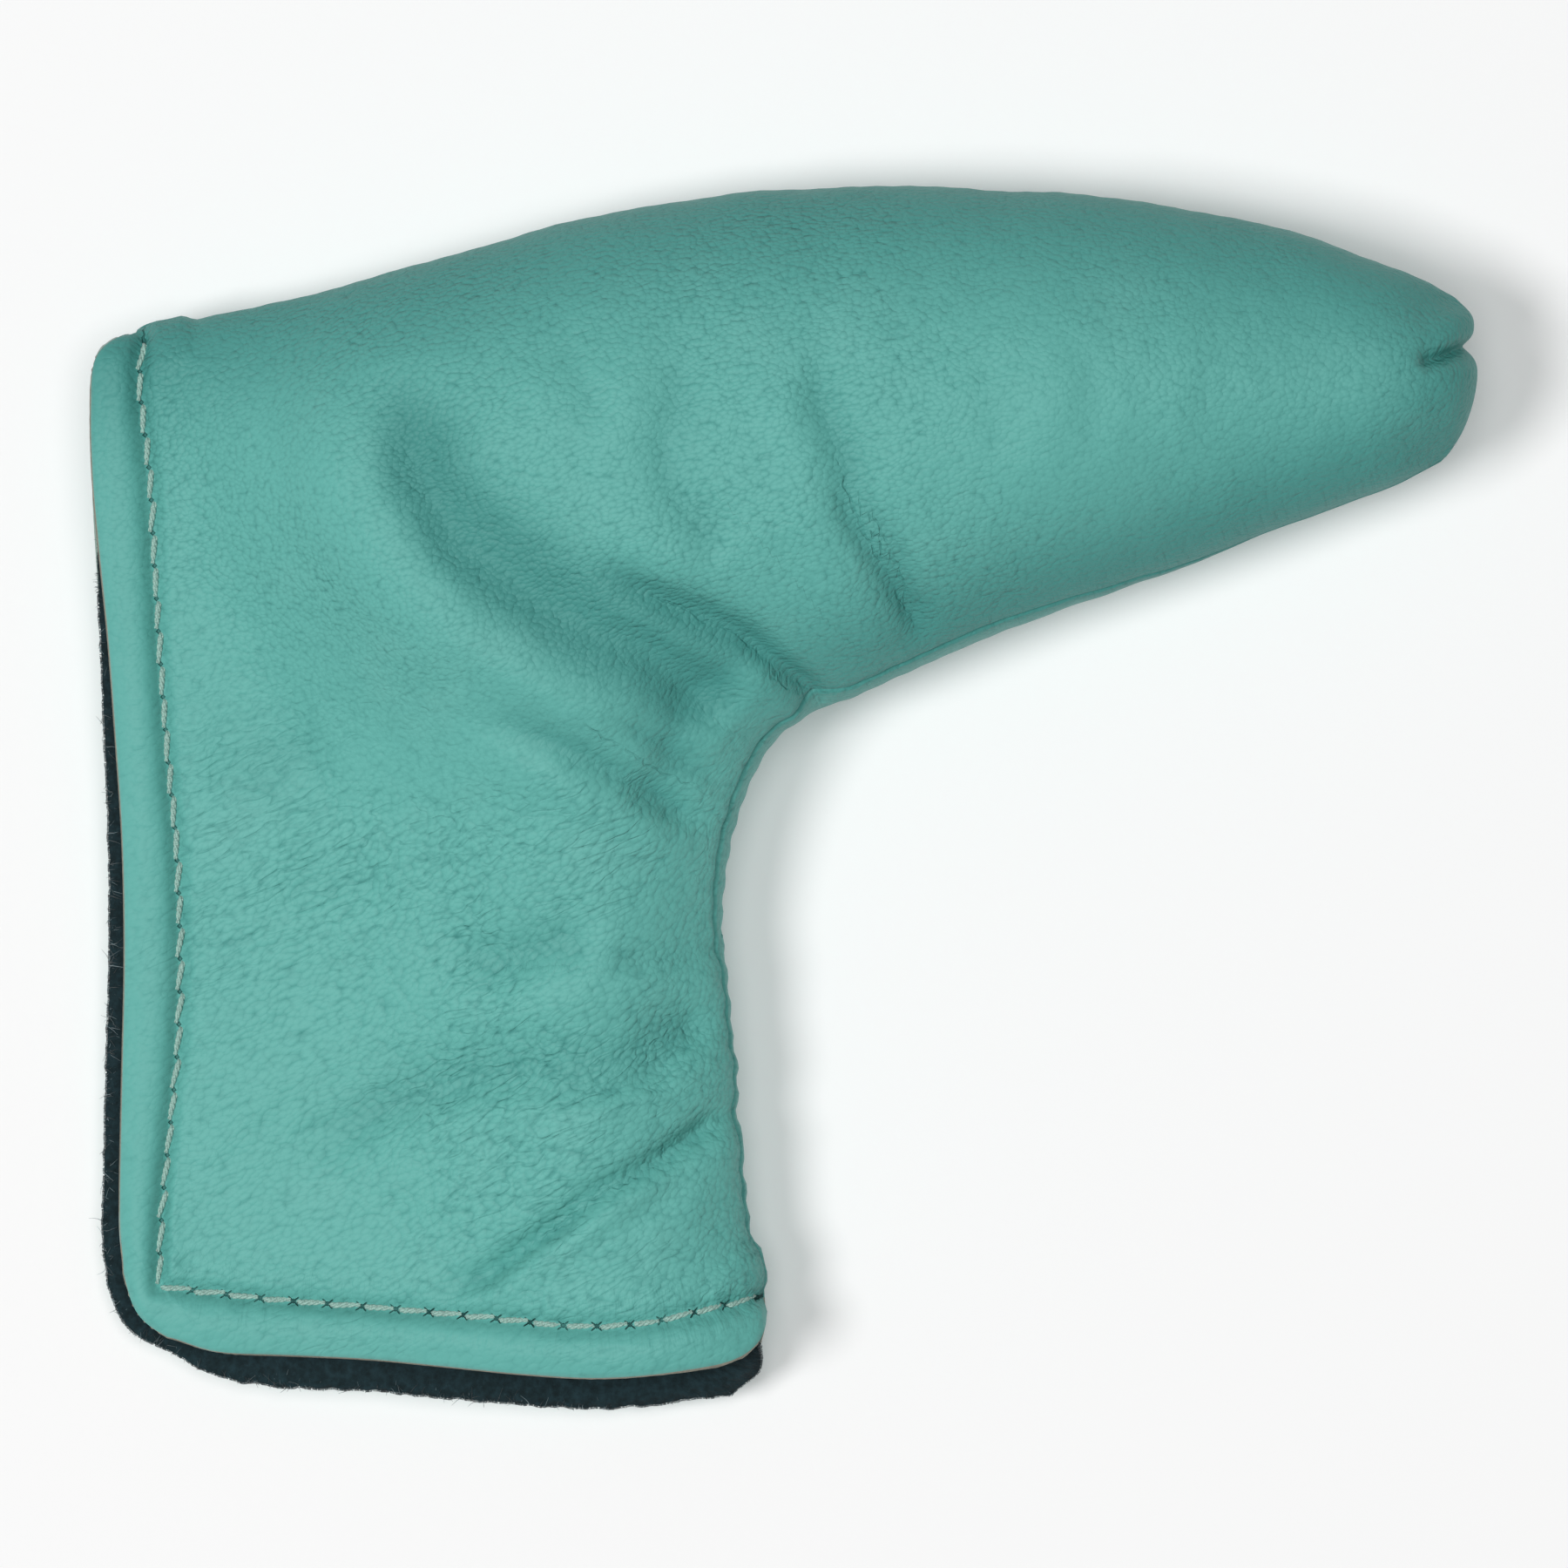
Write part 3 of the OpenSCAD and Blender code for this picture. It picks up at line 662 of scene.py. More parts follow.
def edge_direction(panel):
    """Which way is out of the panel, in plan, beside its cut edge."""
    p = panel.plain[:, :2]
    line = FREE_EDGE[panel.side]
    eps = 0.05
    gap = distance_to(p, line)
    dx = distance_to(p + [eps, 0], line) - gap
    dy = distance_to(p + [0, eps], line) - gap
    inward = np.stack([dx, dy, 0 * dx], -1) / eps
    return -inward * (panel.rib > HEEL_END)[:, None]


# ---- Thread ------------------------------------------------------------------------------------
def on_leather(p, side):
    """Points on the leather over plan points, and the directions out of it."""
    eps = 0.15
    z = height(p, side)
    dx = (height(p + [eps, 0], side) - z) / eps
    dy = (height(p + [0, eps], side) - z) / eps
    out = unit(side * np.stack([-dx, -dy, np.ones_like(z)], -1))
    return np.concatenate([p, z[..., None]], -1) + out * relief(p, side)[..., None], out


def tubes(centres, radii, sides=6):
    """Round tubes along many centre lines (count, points, 3), closed at both ends."""
    count, points = centres.shape[:2]
    run = unit(np.gradient(centres, axis=1))
    helper = np.where(np.abs(run[..., 2:]) < 0.9, [0, 0, 1.0], [1.0, 0, 0])
    a = unit(np.cross(run, helper))
    b = np.cross(run, a)
    turn = 2 * np.pi * np.arange(sides) / sides
    ring = np.cos(turn)[:, None] * a[:, :, None] + np.sin(turn)[:, None] * b[:, :, None]
    verts = centres[:, :, None] + radii[..., None, None] * ring
    index = np.arange(count * points * sides).reshape(count, points, sides)
    following = np.roll(index, -1, axis=2)
    walls = np.stack([index[:, :-1], index[:, 1:], following[:, 1:], following[:, :-1]], -1)
    faces = walls.reshape(-1, 4).tolist()
    faces += index[:, 0].tolist() + index[:, -1, ::-1].tolist()
    return verts.reshape(-1, 3), faces


PLIES = 3
PLY = 0.27           # radius of a ply, and how far it is from the thread's middle, in diameters


def twisted(centres, out, diameter, turns):
    """Plies wound round many centre lines, with a diameter at each point of them."""
    count, points = centres.shape[:2]
    along = np.linspace(0, 1, points)
    run = unit(np.gradient(centres, axis=1))
    sideways = unit(np.cross(run, out))
    up = np.cross(sideways, run)
    parts = []
    for k in range(PLIES):
        angle = 2 * np.pi * (k / PLIES + turns * along)
        swing = np.cos(angle)[:, None] * sideways + np.sin(angle)[:, None] * up
        parts.append(centres + PLY * diameter[:, None] * swing)
    radii = np.broadcast_to(PLY * diameter, (count * PLIES, points))
    return tubes(np.concatenate(parts), radii)


def topstitches(side):
    """Every topstitch of a panel: it comes up out of one hole and sinks slowly towards the next."""
    points = 17
    rng = np.random.default_rng(7)
    share = np.linspace(0, 1, points)
    showing = smooth(share / 0.14) * (1 - 0.6 * smooth((share - 0.5) / 0.5))
    centres, outs = [], []
    for line, slant in zip(stitch_line(side), STITCH_SLANTS):
        at, run, pitch = spaced(line, STITCH_PITCH)
        turn = np.radians(slant + rng.normal(0, 2.5, len(at)))
        across = run @ [[0, 1], [-1, 0]]
        skew = np.cos(turn)[:, None] * run + np.sin(turn)[:, None] * across
        reach_along = STITCH_LENGTH * rng.uniform(0.92, 1.05, len(at))
        p = at[:, None] + ((share - 0.5) * reach_along[:, None])[..., None] * skew[:, None]
        base, out = on_leather(p, side)
        centres.append(base + out * (THREAD * (0.9 * showing - 0.4))[None, :, None])
        outs.append(out)
    diameter = THREAD * (0.6 + 0.4 * showing)
    return twisted(np.concatenate(centres), np.concatenate(outs), diameter, turns=1.5)


# ---- Pile and closure tape -----------------------------------------------------------------------
def curved(roots, directions, lengths, sag, points=4):
    """Centre lines of fibres that leave their roots in a direction and curl towards another."""
    share = np.linspace(0, 1, points)[None, :, None]
    shape = directions[:, None] * share + sag[:, None] * share**2
    return roots[:, None] + lengths[:, None, None] * shape


def edge_fibres(panel, count, longest, seed):
    """Loose fibres that stick out of the lining's cut edge."""
    rng = np.random.default_rng(seed)
    a, b = boundary(panel.faces, len(panel.plain))
    open_edge = (panel.rib[a] > HEEL_END + 0.1) & (panel.edge[a] < 2)
    a, b = a[open_edge], b[open_edge]
    length = np.linalg.norm(panel.plain[a] - panel.plain[b], axis=1)
    pick = rng.choice(len(a), count, p=length / length.sum())
    share, layer = rng.uniform(0, 1, (2, count, 1))
    outer, inner = panel.at_depth(STACK - LINING), panel.at_depth(STACK)
    a, b = a[pick], b[pick]
    roots = mix(mix(outer[a], outer[b], share), mix(inner[a], inner[b], share), layer)
    outward = edge_direction(panel)[a]
    directions = unit(outward + rng.normal(0, 0.45, (count, 3)))
    curl = rng.normal(0, 0.35, (count, 3))
    clumps = 0.55 + 0.45 * noise(roots[:, :2], 1.6, seed)
    below_heel = mix(0.35, 1, smooth((panel.rib[a] - 16) / 2))
    lengths = longest * below_heel * clumps * rng.uniform(0.35, 1, count)
    centres = curved(roots - 0.2 * outward, directions, lengths, curl)
    centres[..., 2] = np.maximum(centres[..., 2], OFF_FLOOR)
    radii = FIBRE * np.linspace(1, 0.35, centres.shape[1]) * np.ones((count, 1))
    tint = np.repeat(rng.uniform(0, 1, count) ** 3, 3 * centres.shape[1])
    return (*tubes(centres, radii, sides=3), tint)


def tape_grid(pitch, seed, jitter):
    """Places for hooks or loops all over a tape, a little uneven."""
    rng = np.random.default_rng(seed)
    low = np.array([HEM_X + TAPE_INSET, TAPE_TOP - TAPE_LENGTH]) + TAPE_BORDER
    across = np.arange(0, TAPE_WIDTH - 2 * TAPE_BORDER, pitch)
    along = np.arange(0, TAPE_LENGTH - 2 * TAPE_BORDER, pitch)
    places = low + np.stack(np.meshgrid(across, along), -1).reshape(-1, 2)
    return places + rng.uniform(-jitter, jitter, places.shape)


def tape_backing(side):
    """The woven backing of a tape, against the lining of its own panel."""
    x = HEM_X + TAPE_INSET + np.linspace(0, TAPE_WIDTH, 8)
    y = TAPE_TOP - np.linspace(0, TAPE_LENGTH, 20)
    flat = np.stack(np.meshgrid(x, y, indexing="ij"), -1)
    near, far = (mid(flat) + side * (TAPE_MEET + off) for off in (TAPE - TAPE_BACKING, TAPE))
    count = near.size
    faces, _ = closed(quads(np.arange(count).reshape(near.shape), -side), count)
    points = np.concatenate([np.dstack([flat, z]).reshape(-1, 3) for z in (near, far)])
    return points, faces.tolist()


def hooks(side):
    """Stiff hooks: each stands up from the backing and turns over at its tip."""
    places = tape_grid(HOOK_PITCH, 31, 0.05)
    bottom = mid(places) + side * (TAPE_MEET + TAPE - TAPE_BACKING)
    room = TAPE - TAPE_BACKING
    outline = room * np.array(HOOK_OUTLINE)
    way = np.where(np.arange(len(places)) % 2, 1, -1)[:, None]
    centres = np.empty((len(places), len(outline), 3))
    centres[..., 0] = places[:, :1]
    centres[..., 1] = places[:, 1:] + way * outline[:, 0]
    centres[..., 2] = bottom[:, None] - side * outline[:, 1]
    return tubes(centres, np.full(centres.shape[:2], HOOK_THICK / 2), sides=5)


def loops(side):
    """Soft loops of fine yarn, lying every way over the backing."""
    rng = np.random.default_rng(33)
    places = tape_grid(LOOP_PITCH, 32, 0.4)
    bottom = mid(places) + side * (TAPE_MEET + TAPE - TAPE_BACKING)
    turn = np.linspace(0, np.pi, 7)
    heading = rng.uniform(0, 2 * np.pi, (len(places), 1))
    half = rng.uniform(0.25, 0.55, (len(places), 1))
    tall = (TAPE - TAPE_BACKING) * rng.uniform(0.6, 0.95, (len(places), 1))
    lean = rng.normal(0, 0.3, (len(places), 2))
    up = np.sin(turn)
    centres = np.empty((len(places), len(turn), 3))
    centres[..., 0] = places[:, :1] + half * np.cos(turn) * np.cos(heading) + lean[:, :1] * up
    centres[..., 1] = places[:, 1:] + half * np.cos(turn) * np.sin(heading) + lean[:, 1:] * up
    centres[..., 2] = bottom[:, None] - side * (tall * up - 0.05)
    return tubes(centres, np.full(centres.shape[:2], LOOP_THICK / 2), sides=3)


# ---- Materials ---------------------------------------------------------------------------------
def feed(tree, slot, value):
    if isinstance(value, Signal):
        tree.links.new(value.socket, slot)
    else:
        slot.default_value = value


def add_node(tree, kind, inputs=(), output=0, **settings):
    """A new node with its settings and inputs, each by name or number, and one of its outputs."""
    node = tree.nodes.new(kind)
    for key, value in settings.items():
        setattr(node, key, value)
    for slot, value in inputs:
        feed(tree, node.inputs[slot], value)
    return Signal(tree, node.outputs[output])


class Signal:
    """A number or colour inside a node tree, with arithmetic."""

    def __init__(self, tree, socket):
        self.tree, self.socket = tree, socket

    def math(self, operation, *others):
        return add_node(self.tree, "ShaderNodeMath", enumerate((self, *others)), operation=operation)

    def __add__(self, other):
        return self.math("ADD", other)

    def __sub__(self, other):
        return self.math("SUBTRACT", other)

    def __mul__(self, other):
        return self.math("MULTIPLY", other)

    def __truediv__(self, other):
        return self.math("DIVIDE", other)

    def ramp(self, low, high):
        """0 below low, 1 above high and smooth between them."""
        inputs = [("Value", self), ("From Min", low), ("From Max", high)]
        return add_node(self.tree, "ShaderNodeMapRange", inputs, interpolation_type="SMOOTHSTEP")


class Shader:
    """A Principled material and short names for the nodes that it is made with."""

    def __init__(self, name, **settings):
        self.material = bpy.data.materials.new(name)
        self.material.use_nodes = True
        self.tree = self.material.node_tree
        self.principled = self.tree.nodes["Principled BSDF"]
        for key, value in settings.items():
            self.set(key.replace("_", " "), value)

    def set(self, name, value):
        slot = next(i for i in self.principled.inputs if i.name.lower() == name.lower())
        feed(self.tree, slot, value)

    def node(self, kind, output, **inputs):
        named = [(key.replace("_", " "), value) for key, value in inputs.items()]
        return add_node(self.tree, kind, named, output)

    def attribute(self, name, output="Fac"):
        return add_node(self.tree, "ShaderNodeAttribute", (), output, attribute_name=name)

    def parts(self, vector):
        node = self.tree.nodes.new("ShaderNodeSeparateXYZ")
        feed(self.tree, node.inputs[0], vector)
        return [Signal(self.tree, o) for o in node.outputs]

    def vector(self, x, y, z):
        return add_node(self.tree, "ShaderNodeCombineXYZ", enumerate((x, y, z)))

    def stretched(self, vector, stretch, turn):
        """Coordinates in which a pattern comes out stretched along a direction turned from +X."""
        inputs = [("Vector", vector), ("Rotation", (0, 0, math.radians(turn))),
                  ("Scale", (stretch, 1, 1))]
        return add_node(self.tree, "ShaderNodeMapping", inputs, vector_type="TEXTURE")

    def moved(self, vector, scale, amount):
        """The vector pushed about by noise, by up to about half the amount."""
        push = self.node("ShaderNodeTexNoise", "Color", Vector=vector, Scale=scale, Detail=2.0)
        inputs = enumerate((push, (amount,) * 3, vector))
        return add_node(self.tree, "ShaderNodeVectorMath", inputs, operation="MULTIPLY_ADD")

    def noise(self, vector, scale, detail=2.0, roughness=0.5):
        return self.node("ShaderNodeTexNoise", 0, Vector=vector, Scale=scale, Detail=detail,
                         Roughness=roughness)

    def cells(self, vector, scale):
        """Distance to the middle of the nearest of many uneven cells."""
        return self.node("ShaderNodeTexVoronoi", "Distance", Vector=vector, Scale=scale)

    def blend(self, a, b, share):
        node = self.tree.nodes.new("ShaderNodeMix")
        node.data_type = "RGBA"
        feed(self.tree, node.inputs["Factor"], share)
        colour_slots = [i for i in node.inputs if i.type == "RGBA"]
        for slot, value in zip(colour_slots, (a, b)):
            feed(self.tree, slot, value if isinstance(value, Signal) else (*value, 1))
        return Signal(self.tree, next(o for o in node.outputs if o.type == "RGBA"))

    def bump(self, height, distance, strength=1.0):
        """Bump by a height between 0 and 1 that stands for a distance in millimetres."""
        node = self.tree.nodes.new("ShaderNodeBump")
        feed(self.tree, node.inputs["Height"], height)
        node.inputs["Distance"].default_value = distance * MM
        node.inputs["Strength"].default_value = strength
        self.tree.links.new(node.outputs[0], self.principled.inputs["Normal"])


TEAL = (0.142, 0.480, 0.428)
TEAL_DEEP = (0.066, 0.295, 0.268)
TEAL_PALE = (0.215, 0.550, 0.500)
RAW_EDGE = (0.24, 0.24, 0.18)
SUEDE = (0.30, 0.42, 0.38)
FLEECE = (0.007, 0.018, 0.021)
FLEECE_TIP = (0.018, 0.045, 0.055)
PALE_THREAD = (0.37, 0.59, 0.52)
FOAM_COLOUR = (0.62, 0.62, 0.56)
TAPE_BLACK = (0.012, 0.013, 0.015)


def leather_grain(m, rest):
    """Height of the grain in millimetres: small pebbles on the head, long creased cells on the leg."""
    x, y, _ = m.parts(rest)
    bent = m.moved(rest, 0.22, 1.2)
    on_leg = y.ramp(26.0, -10.0)
    uneven = m.noise(rest, 0.045, 2.0).ramp(0.35, 0.62)
    head = m.cells(m.stretched(bent, 1.35, 14), 1.9)
    leg = m.cells(m.stretched(bent, 1.7, 30), 1.7)
    long_folds = m.noise(m.stretched(bent, 4.5, 24), 0.62, 1.0) - 0.5
    creases = long_folds.math("ABSOLUTE").ramp(0.055, 0.0) * (on_leg * 0.8 + 0.2) * uneven
    towards_toe = x.ramp(0.0, 55.0)
    on_head = head * head * (uneven * -0.03 - 0.10 + towards_toe * 0.035)
    on_whole_leg = leg * leg * (uneven * -0.04 - 0.11)
    pores = m.cells(bent, 3.4) * -0.015
    return on_head + (on_whole_leg - on_head) * on_leg + pores - creases * 0.06


def leather_cracks(m, rest):
    """Where the surface has cracked along a sharp fold, from 0 to 1."""
    distance, strength, _ = m.parts(m.attribute("crack", "Vector"))
    wander = (m.noise(rest, 0.55, 1.0, 0.5) - 0.5) * 1.5
    broken = m.noise(rest, 0.55, 2.0).ramp(0.36, 0.5)
    return (distance + wander).math("ABSOLUTE").ramp(0.24, 0.02) * strength * broken


def leather_material():
    """Soft full-grain leather: pebbles, creases, puckers at the hem, cracks, punched holes and painted
    shade.
    """
    m = Shader("teal_leather", Roughness=0.5, Specular_IOR_Level=0.2)
    rest = m.attribute("rest", "Vector")
    blotch = m.noise(rest, 0.09, 3.0)
    u, v, band = m.parts(m.attribute("hem", "Vector"))
    on_hem = v.ramp(0.4, -0.8) * v.ramp(-9.0, -6.5)
    # How much shade is painted into the colour here; the grain's bump is made a little stronger there too.
    painted_shade = m.attribute("painted_shade")
    grain = leather_grain(m, rest) * (on_hem * -0.45 + 1.0) * (painted_shade * 0.8 + 1.05)
    puckers = m.noise(m.vector(u * 0.75, v * 0.10, band), 1.0, 3.0, 0.55) * band
    cut = needle_holes(m, u, v, band) * m.attribute("stitched")
    seam_u, seam_v, seam_band = m.parts(m.attribute("seam", "Vector"))
    seam_pucker = m.noise(m.vector(seam_u * 1.1, seam_v * 0.15, 7.0), 1.0, 2.0, 0.5) * seam_band
    soft = m.noise(rest, 0.35, 1.0, 0.5)
    cracks = leather_cracks(m, rest)
    m.bump(grain + puckers * 0.35 + seam_pucker * 0.3 + soft * 0.25 - cut * 0.4 - cracks * 0.1, 1.0)
    colour = m.blend(TEAL_DEEP, TEAL, (grain * 4.5 + 1.10).math("MINIMUM", 1.0))
    colour = m.blend(colour, TEAL_PALE, blotch.ramp(0.5, 0.8) * 0.22)
    # Painted shade: the colour is deepened towards TEAL_DEEP in folds, along rounded edges, in seams,
    # beside stitches and under the toe pleat; cracks deepen it a little too.
    colour = m.blend(colour, TEAL_DEEP, painted_shade + cracks * 0.22)
    # Painted shade in the needle holes: where they are cut the colour goes near black.
    m.set("Base Color", m.blend(colour, (0.010, 0.060, 0.058), cut))
    m.set("Roughness", blotch * 0.12 + 0.46 + cut * 0.3)
    return m.material


def needle_holes(m, u, v, band):
    """The cuts of the needle's point: a small slit down the side, and a cross along the foot."""
    number = u / STITCH_PITCH
    along = ((number.math("FRACT") - 0.5) * STITCH_PITCH).math("ABSOLUTE")
    across = v.math("ABSOLUTE")
    from_hole = (along * along + across * across).math("SQRT")
    arms = (across - along * 0.8).math("ABSOLUTE").ramp(0.13, 0.04) * from_hole.ramp(0.85, 0.5)
    on_foot = band.ramp(0.7, 0.9)
    how_open = m.noise(m.vector(number.math("FLOOR") * 3.7, on_foot, 2.0), 1.0, 0.0).ramp(0.3, 0.6)
    slit = (along * 1.3 + across * 1.5).ramp(0.5, 0.25)
    return (arms * on_foot * (how_open * 0.6 + 0.4)).math("MAXIMUM", slit * 0.6)


def simple_fibrous(name, colour, tip, scale, roughness, sheen, depth):
    """Matt fibrous stuff: fleece, suede, foam or a cut edge, by its colours and the size of its nap."""
    m = Shader(name, Roughness=roughness, Specular_IOR_Level=0.2, Sheen_Weight=sheen,
               Sheen_Roughness=0.6)
    rest = m.attribute("rest", "Vector")
    nap = m.noise(rest, scale, 5.0, 0.65)
    tuft = m.cells(rest, scale * 0.6)
    m.set("Base Color", m.blend(colour, tip, (nap * 0.9 + tuft * 0.3).ramp(0.35, 0.95)))
    m.bump(nap + tuft * 0.5, depth, 0.9)
    return m.material


def thread_material(name, colour):
    """Twisted polyester: a soft gloss, and fine filaments along each ply."""
    m = Shader(name, Roughness=0.55, Specular_IOR_Level=0.4, Sheen_Weight=0.3)
    place = m.node("ShaderNodeTexCoord", "Object")
    filaments = m.noise(place, 5000.0, 2.0)
    dark = tuple(0.6 * c for c in colour)
    m.set("Base Color", m.blend(dark, colour, filaments.ramp(0.3, 0.6)))
    m.bump(filaments, 0.05, 0.5)
    return m.material


def fibre_material():
    """Loose pile fibres, each in its own tint."""
    m = Shader("pile_fibre", Roughness=0.7, Sheen_Weight=0.4)
    m.set("Base Color", m.blend(FLEECE, (0.30, 0.42, 0.46), m.attribute("tint")))
    return m.material


def tape_material():
    """Woven tape: fine ribs along and across."""
    m = Shader("tape_weave", Roughness=0.6, Specular_IOR_Level=0.3, Sheen_Weight=0.3)
    x, y, _ = m.parts(m.node("ShaderNodeTexCoord", "Object"))
    warp = (x * (2 * math.pi / 0.0007)).math("SINE")
    weft = (y * (2 * math.pi / 0.0005)).math("SINE")
    weave = warp * weft * 0.5 + 0.5
    m.set("Base Color", m.blend(TAPE_BLACK, (0.05, 0.055, 0.06), weave))
    m.bump(weave, 0.08, 0.7)
    return m.material


LEATHER_LOOK = leather_material()
SUEDE_LOOK = simple_fibrous("flesh_side", SUEDE, (0.40, 0.52, 0.47), 1.6, 0.9, 0.3, 0.15)
RAW_LOOK = simple_fibrous("raw_edge", RAW_EDGE, (0.36, 0.35, 0.27), 3.0, 0.85, 0.1, 0.1)
FLEECE_LOOK = simple_fibrous("fleece", FLEECE, FLEECE_TIP, 1.5, 0.95, 0.05, 0.4)
FOAM_LOOK = simple_fibrous("wadding", FOAM_COLOUR, (0.75, 0.75, 0.7), 1.2, 0.95, 0.1, 0.3)
THREAD_LOOK = thread_material("pale_thread", PALE_THREAD)
TEAL_THREAD_LOOK = thread_material("teal_thread", TEAL_DEEP)
DARK_THREAD_LOOK = thread_material("dark_thread", (0.03, 0.05, 0.055))
FIBRE_LOOK = fibre_material()
TAPE_LOOK = tape_material()
HOOK_LOOK = Shader("hook_plastic", Base_Color=(0.02, 0.022, 0.025, 1), Roughness=0.35).material
LOOP_LOOK = Shader("loop_yarn", Base_Color=(0.03, 0.033, 0.037, 1), Roughness=0.7,
                   Sheen_Weight=0.3).material


# ---- Pieces ------------------------------------------------------------------------------------
PANEL_NAMES = {FRONT: "front", BACK: "back"}
BLEND_BEFORE, BLEND_AFTER = 5, 15
ROWS, COLUMNS = 330, 138
SOFT_ROWS, SOFT_COLUMNS = 170, 72
FLEECE_ROWS, FLEECE_COLUMNS = 560, 40
FIBRES = {FRONT: (1200, 0.6), BACK: (6500, 2.2)}      # how many, and how long the longest is


def fold_line(side):
    """The middle of a panel's fold, and the direction across it to the flap."""
    a, b = plan(FOLD_RIB, 0, side), plan(FOLD_RIB, 1, side)
    run = unit(b - a)
    return (a + b) / 2, np.array([run[1], -run[0]])


def bend(obj, side):
    """The piece crosses its panel's fold; the ends of a bend there are worked out, but only its placement
    is baked in.
    """
    middle, across = fold_line(side)
    start, end = (to_frame([*(middle + d * across), 0]) for d in (-BLEND_BEFORE, BLEND_AFTER))
    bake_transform(obj)


def hem_attributes(p, side):
    """Where the points lie along and across the topstitching, how strongly it puckers them, how
    near they are to its holes, and how much it keeps clear of its corner."""
    down, foot = stitch_line(side)
    offset, along = nearest(p, np.concatenate([down, foot[1:]]))
    length_down = run_length(down)
    on_foot = along > length_down
    pitch_down, pitch_foot = spaced(down, STITCH_PITCH)[2], spaced(foot, STITCH_PITCH)[2]
    beat = np.where(on_foot, (along - length_down) / pitch_foot, along / pitch_down)
    clear = smooth((np.abs(along - length_down) - np.abs(offset)) / 1.0)
    band = smooth((5.5 - np.abs(offset)) / 3) * mix(0.6, 1, on_foot) * clear
    stitched = smooth((2.0 - np.abs(offset)) / 0.5) * clear
    return np.stack([(beat + 0.5) * STITCH_PITCH, offset, band], -1), stitched, clear


def painted_shade_amount(panel, stitch_offset, clear):
    """Painted shade: how much deeper the leather's colour is made in folds, beside seams and stitches, and
    in the pleat.
    """
    p, side = panel.plain[:, :2], panel.side
    inner = distance_to(p, INNER_SEAM)
    outer = np.minimum(distance_to(p, TOP_SEAM), distance_to(p, TOE_SEAM))
    on_head = smooth((p[:, 1] - 2) / 20)
    in_throat = smooth((p[:, 1] + 12) / 14)
    # Painted shade in the valleys of the folds.
    folded = mix(0.45, 0.74, in_throat) * smooth(-folds(p, side) / 2.4) * smooth((panel.edge - 6) / 6)
    # Painted shade under the head, beside the inner seam.
    under = np.exp(-(inner / 8.5) ** 2) * (0.92 if side == FRONT else 0.3)
    # Painted shade where the head rounds over to its top and toe seams, over a slight even darkening of the
    # whole head.
    painted_edge_shade = (0.07 + np.maximum(0.75 * np.exp(-(outer / 11) ** 2), under)) * on_head
    # Painted shade in the line of the inner seam.
    seam_gap = np.abs(inner - turned(panel.rib))
    sewn = mix(0.45, 0.8, on_head) * np.exp(-(seam_gap / 0.45) ** 2) * (panel.rib < MOUTH_END)
    # Painted shadow under the upper lip of the toe pleat.
    line = route(TOE_PLEAT[0])
    offset, along = nearest(p, line)
    pleat = 0.5 * np.exp(-(offset / 0.5) ** 2) * smooth((run_length(line) - along) / 2 + 0.5)
    # Painted shade in the groove beside the topstitching.
    stitches = 0.22 * np.exp(-(stitch_offset / 1.3) ** 2) * clear
    # Slightly darker over the hem band, near the cut edge.
    hem = 0.1 * smooth((6.5 - panel.edge) / 1.5)
    return np.clip(folded + painted_edge_shade + sewn + pleat + stitches + hem, 0, 0.92)


def sewn_in(piece, side, slot, *nodes):
    """The piece stands for CAD nodes, which are hidden, and its placement is baked in; slot is not used."""
    if nodes:
        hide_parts(*nodes)
    bend(piece, side)


def leather_attributes(panel):
    """What the leather's material needs to know at each point, in millimetres."""
    p = panel.plain[:, :2]
    hem, stitched, clear = hem_attributes(p, panel.side)
    crack, crack_strength = nearest_crack(p, panel.side)
    offset, inner_along = nearest(p, INNER_SEAM)
    inner = np.abs(offset)
    seam_band = smooth((4 - inner) / 3) * (panel.rib < MOUTH_END)
    return {
        "rest": panel.plain,
        "hem": hem,
        "seam": np.stack([inner_along, inner, seam_band], -1),
        "stitched": stitched,
        "crack": np.stack([crack, crack_strength, 0 * crack], -1),
        # Painted shade, which deepens the leather's colour.
        "painted_shade": painted_shade_amount(panel, hem[:, 1], clear),
    }


def make_tape(side):
    """Hook tape inside the front flap, or loop tape inside the back one."""
    kind, nap = ("hook", hooks) if side == FRONT else ("loop", loops)
    backing_points, backing_faces = tape_backing(side)
    points, faces = nap(side)
    moved = [[i + len(backing_points) for i in face] for face in faces]
    kinds = np.repeat([0, 1], [len(backing_faces), len(moved)])
    tape = make_mesh(kind + "_patch", np.concatenate([backing_points, points]), backing_faces + moved,
                     [TAPE_LOOK, HOOK_LOOK if side == FRONT else LOOP_LOOK], kinds)
    sewn_in(tape, side, kind, kind + "_tape")


def make_tape_stitches(side):
    """The stitches that hold a tape, copied from the CAD part in dark thread."""
    kind = "hook" if side == FRONT else "loop"
    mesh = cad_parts[kind + "_tape_stitches"].data.copy()
    mesh.materials.clear()
    mesh.materials.append(DARK_THREAD_LOOK)
    stitches = bpy.data.objects.new(kind + "_patch_stitches", mesh)
    bpy.context.scene.collection.objects.link(stitches)
    sewn_in(stitches, side, "seam_thread", kind + "_tape_stitches")


def make_fibres(side, lining, count, longest):
    points, faces, tint = edge_fibres(lining, count, longest, 50 + side)
    name = PANEL_NAMES[side] + "_edge_fibres"
    pile = make_mesh(name, points, faces, [FIBRE_LOOK], attributes={"tint": tint})
    sewn_in(pile, side, "fleece")


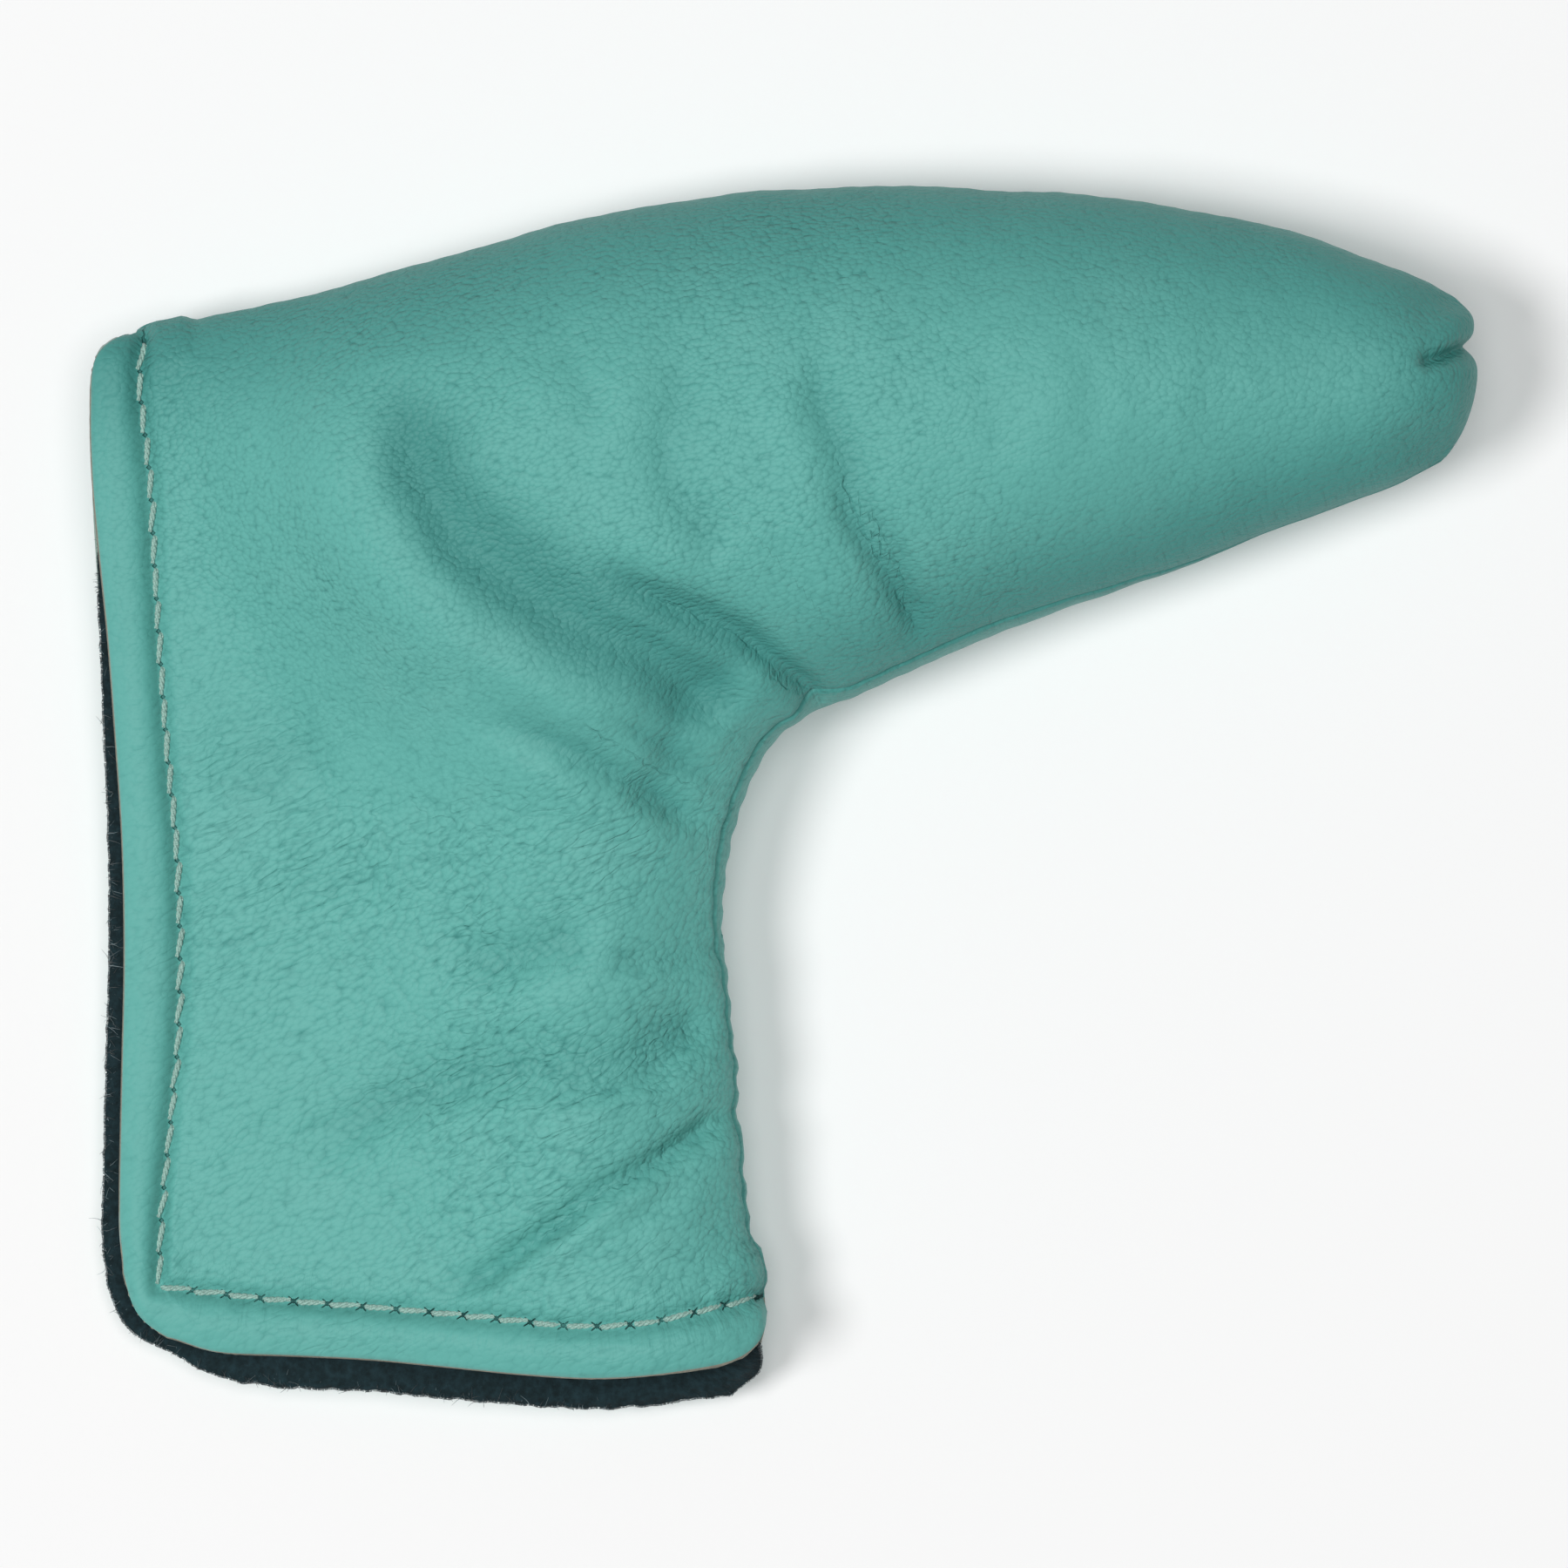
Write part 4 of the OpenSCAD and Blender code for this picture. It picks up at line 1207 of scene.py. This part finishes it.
def make_panel(side):
    """All the sewn-together layers of one panel, and the thread along its free edge."""
    name = PANEL_NAMES[side]
    leather = Panel(side, ROWS, COLUMNS)
    cover = shell(name + "_cover", leather, (0, LEATHER), (LEATHER_LOOK, SUEDE_LOOK, RAW_LOOK),
                  leather_attributes(leather), spread=0.22)
    sewn_in(cover, side, "leather", name + "_leather", name + "_flap_leather")

    padding = Panel(side, SOFT_ROWS, SOFT_COLUMNS, inset=1.2, wraps=False)
    top = LEATHER + LAYER_GAP
    wadding = shell(name + "_wadding", padding, (top, top + FOAM), (FOAM_LOOK,) * 3,
                    {"rest": padding.plain})
    sewn_in(wadding, side, "foam", name + "_foam", name + "_flap_foam")

    inside = Panel(side, FLEECE_ROWS, FLEECE_COLUMNS, inset=0.6, wraps=False, ragged=0.5,
                   proud=0 if side == FRONT else 1.1)
    fleece = shell(name + "_fleece", inside, (STACK - LINING, STACK), (FLEECE_LOOK,) * 3,
                   {"rest": inside.plain})
    sewn_in(fleece, side, "fleece", name + "_lining", name + "_flap_lining")
    make_fibres(side, inside, *FIBRES[side])

    verts, faces = topstitches(side)
    thread = make_mesh(name + "_topstitch", verts, faces, [THREAD_LOOK])
    sewn_in(thread, side, "topstitch_thread", name + "_edge_stitches", name + "_flap_stitches")
    return cover, wadding, fleece, thread


PIECES = {side: make_panel(side) for side in (FRONT, BACK)}
for side in (FRONT, BACK):
    make_tape(side)
    make_tape_stitches(side)

for node, look in {
    "leather_seam_thread": TEAL_THREAD_LOOK, "lining_seam_thread": DARK_THREAD_LOOK,
    "heel_bar_tack": THREAD_LOOK, "mouth_bar_tack": THREAD_LOOK,
}.items():
    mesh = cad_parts[node].data
    mesh.materials.clear()
    mesh.materials.append(look)


# ---- Stage -------------------------------------------------------------------------------------
FLOOR_GAP = 0.4      # the floor lies this far under the cover
FLOOR_HALF = 3.0     # half the floor's side, in metres


def make_floor():
    mesh = bpy.data.meshes.new("floor")
    half = FLOOR_HALF
    mesh.from_pydata([(-half, -half, 0), (half, -half, 0), (half, half, 0), (-half, half, 0)], [],
                     [(0, 1, 2, 3)])
    floor = bpy.data.objects.new("floor", mesh)
    floor.location.z = -FLOOR_GAP * MM
    look = Shader("pale_floor", Roughness=0.9, Specular_IOR_Level=0.1)
    look.set("Base Color", (0.90, 0.90, 0.90, 1))
    look.set("Emission Color", (1, 1, 1, 1))
    look.set("Emission Strength", 0.12)
    mesh.materials.append(look.material)
    bpy.context.scene.collection.objects.link(floor)


def make_light(name, place, size, power, target=(0, 0, 0.02)):
    lamp = bpy.data.lights.new(name, "AREA")
    lamp.shape = "DISK"
    lamp.size = size
    lamp.energy = power
    obj = bpy.data.objects.new(name, lamp)
    obj.location = place
    direction = Vector(np.array(target) - np.array(place))
    obj.rotation_euler = direction.to_track_quat("-Z", "Y").to_euler()
    bpy.context.scene.collection.objects.link(obj)


def make_world():
    world = bpy.data.worlds.new("studio")
    world.use_nodes = True
    sky = world.node_tree.nodes["Background"]
    sky.inputs["Color"].default_value = (1, 1, 1, 1)
    sky.inputs["Strength"].default_value = 0.12
    bpy.context.scene.world = world


def make_camera():
    """Straight down on the cover, from far enough away that it looks flat."""
    distance, frame_width, sensor = 2.0, 0.180, 36
    camera = bpy.data.cameras.new("camera")
    camera.sensor_width = sensor
    camera.lens = sensor * distance / frame_width
    camera.clip_end = 20
    obj = bpy.data.objects.new("camera", camera)
    obj.location = (0.000075, 0.00159, distance + SEAM_HEIGHT * MM)
    bpy.context.scene.collection.objects.link(obj)
    bpy.context.scene.camera = obj


make_floor()
make_world()
make_light("key", (-1.7, -0.3, 3.4), 1.2, 71)
make_light("top", (0.1, 0.1, 3.6), 1.6, 49)
make_camera()
bpy.context.scene.view_settings.view_transform = "Standard"

for side in (FRONT, BACK):
    cover, wadding, fleece, thread = PIECES[side]
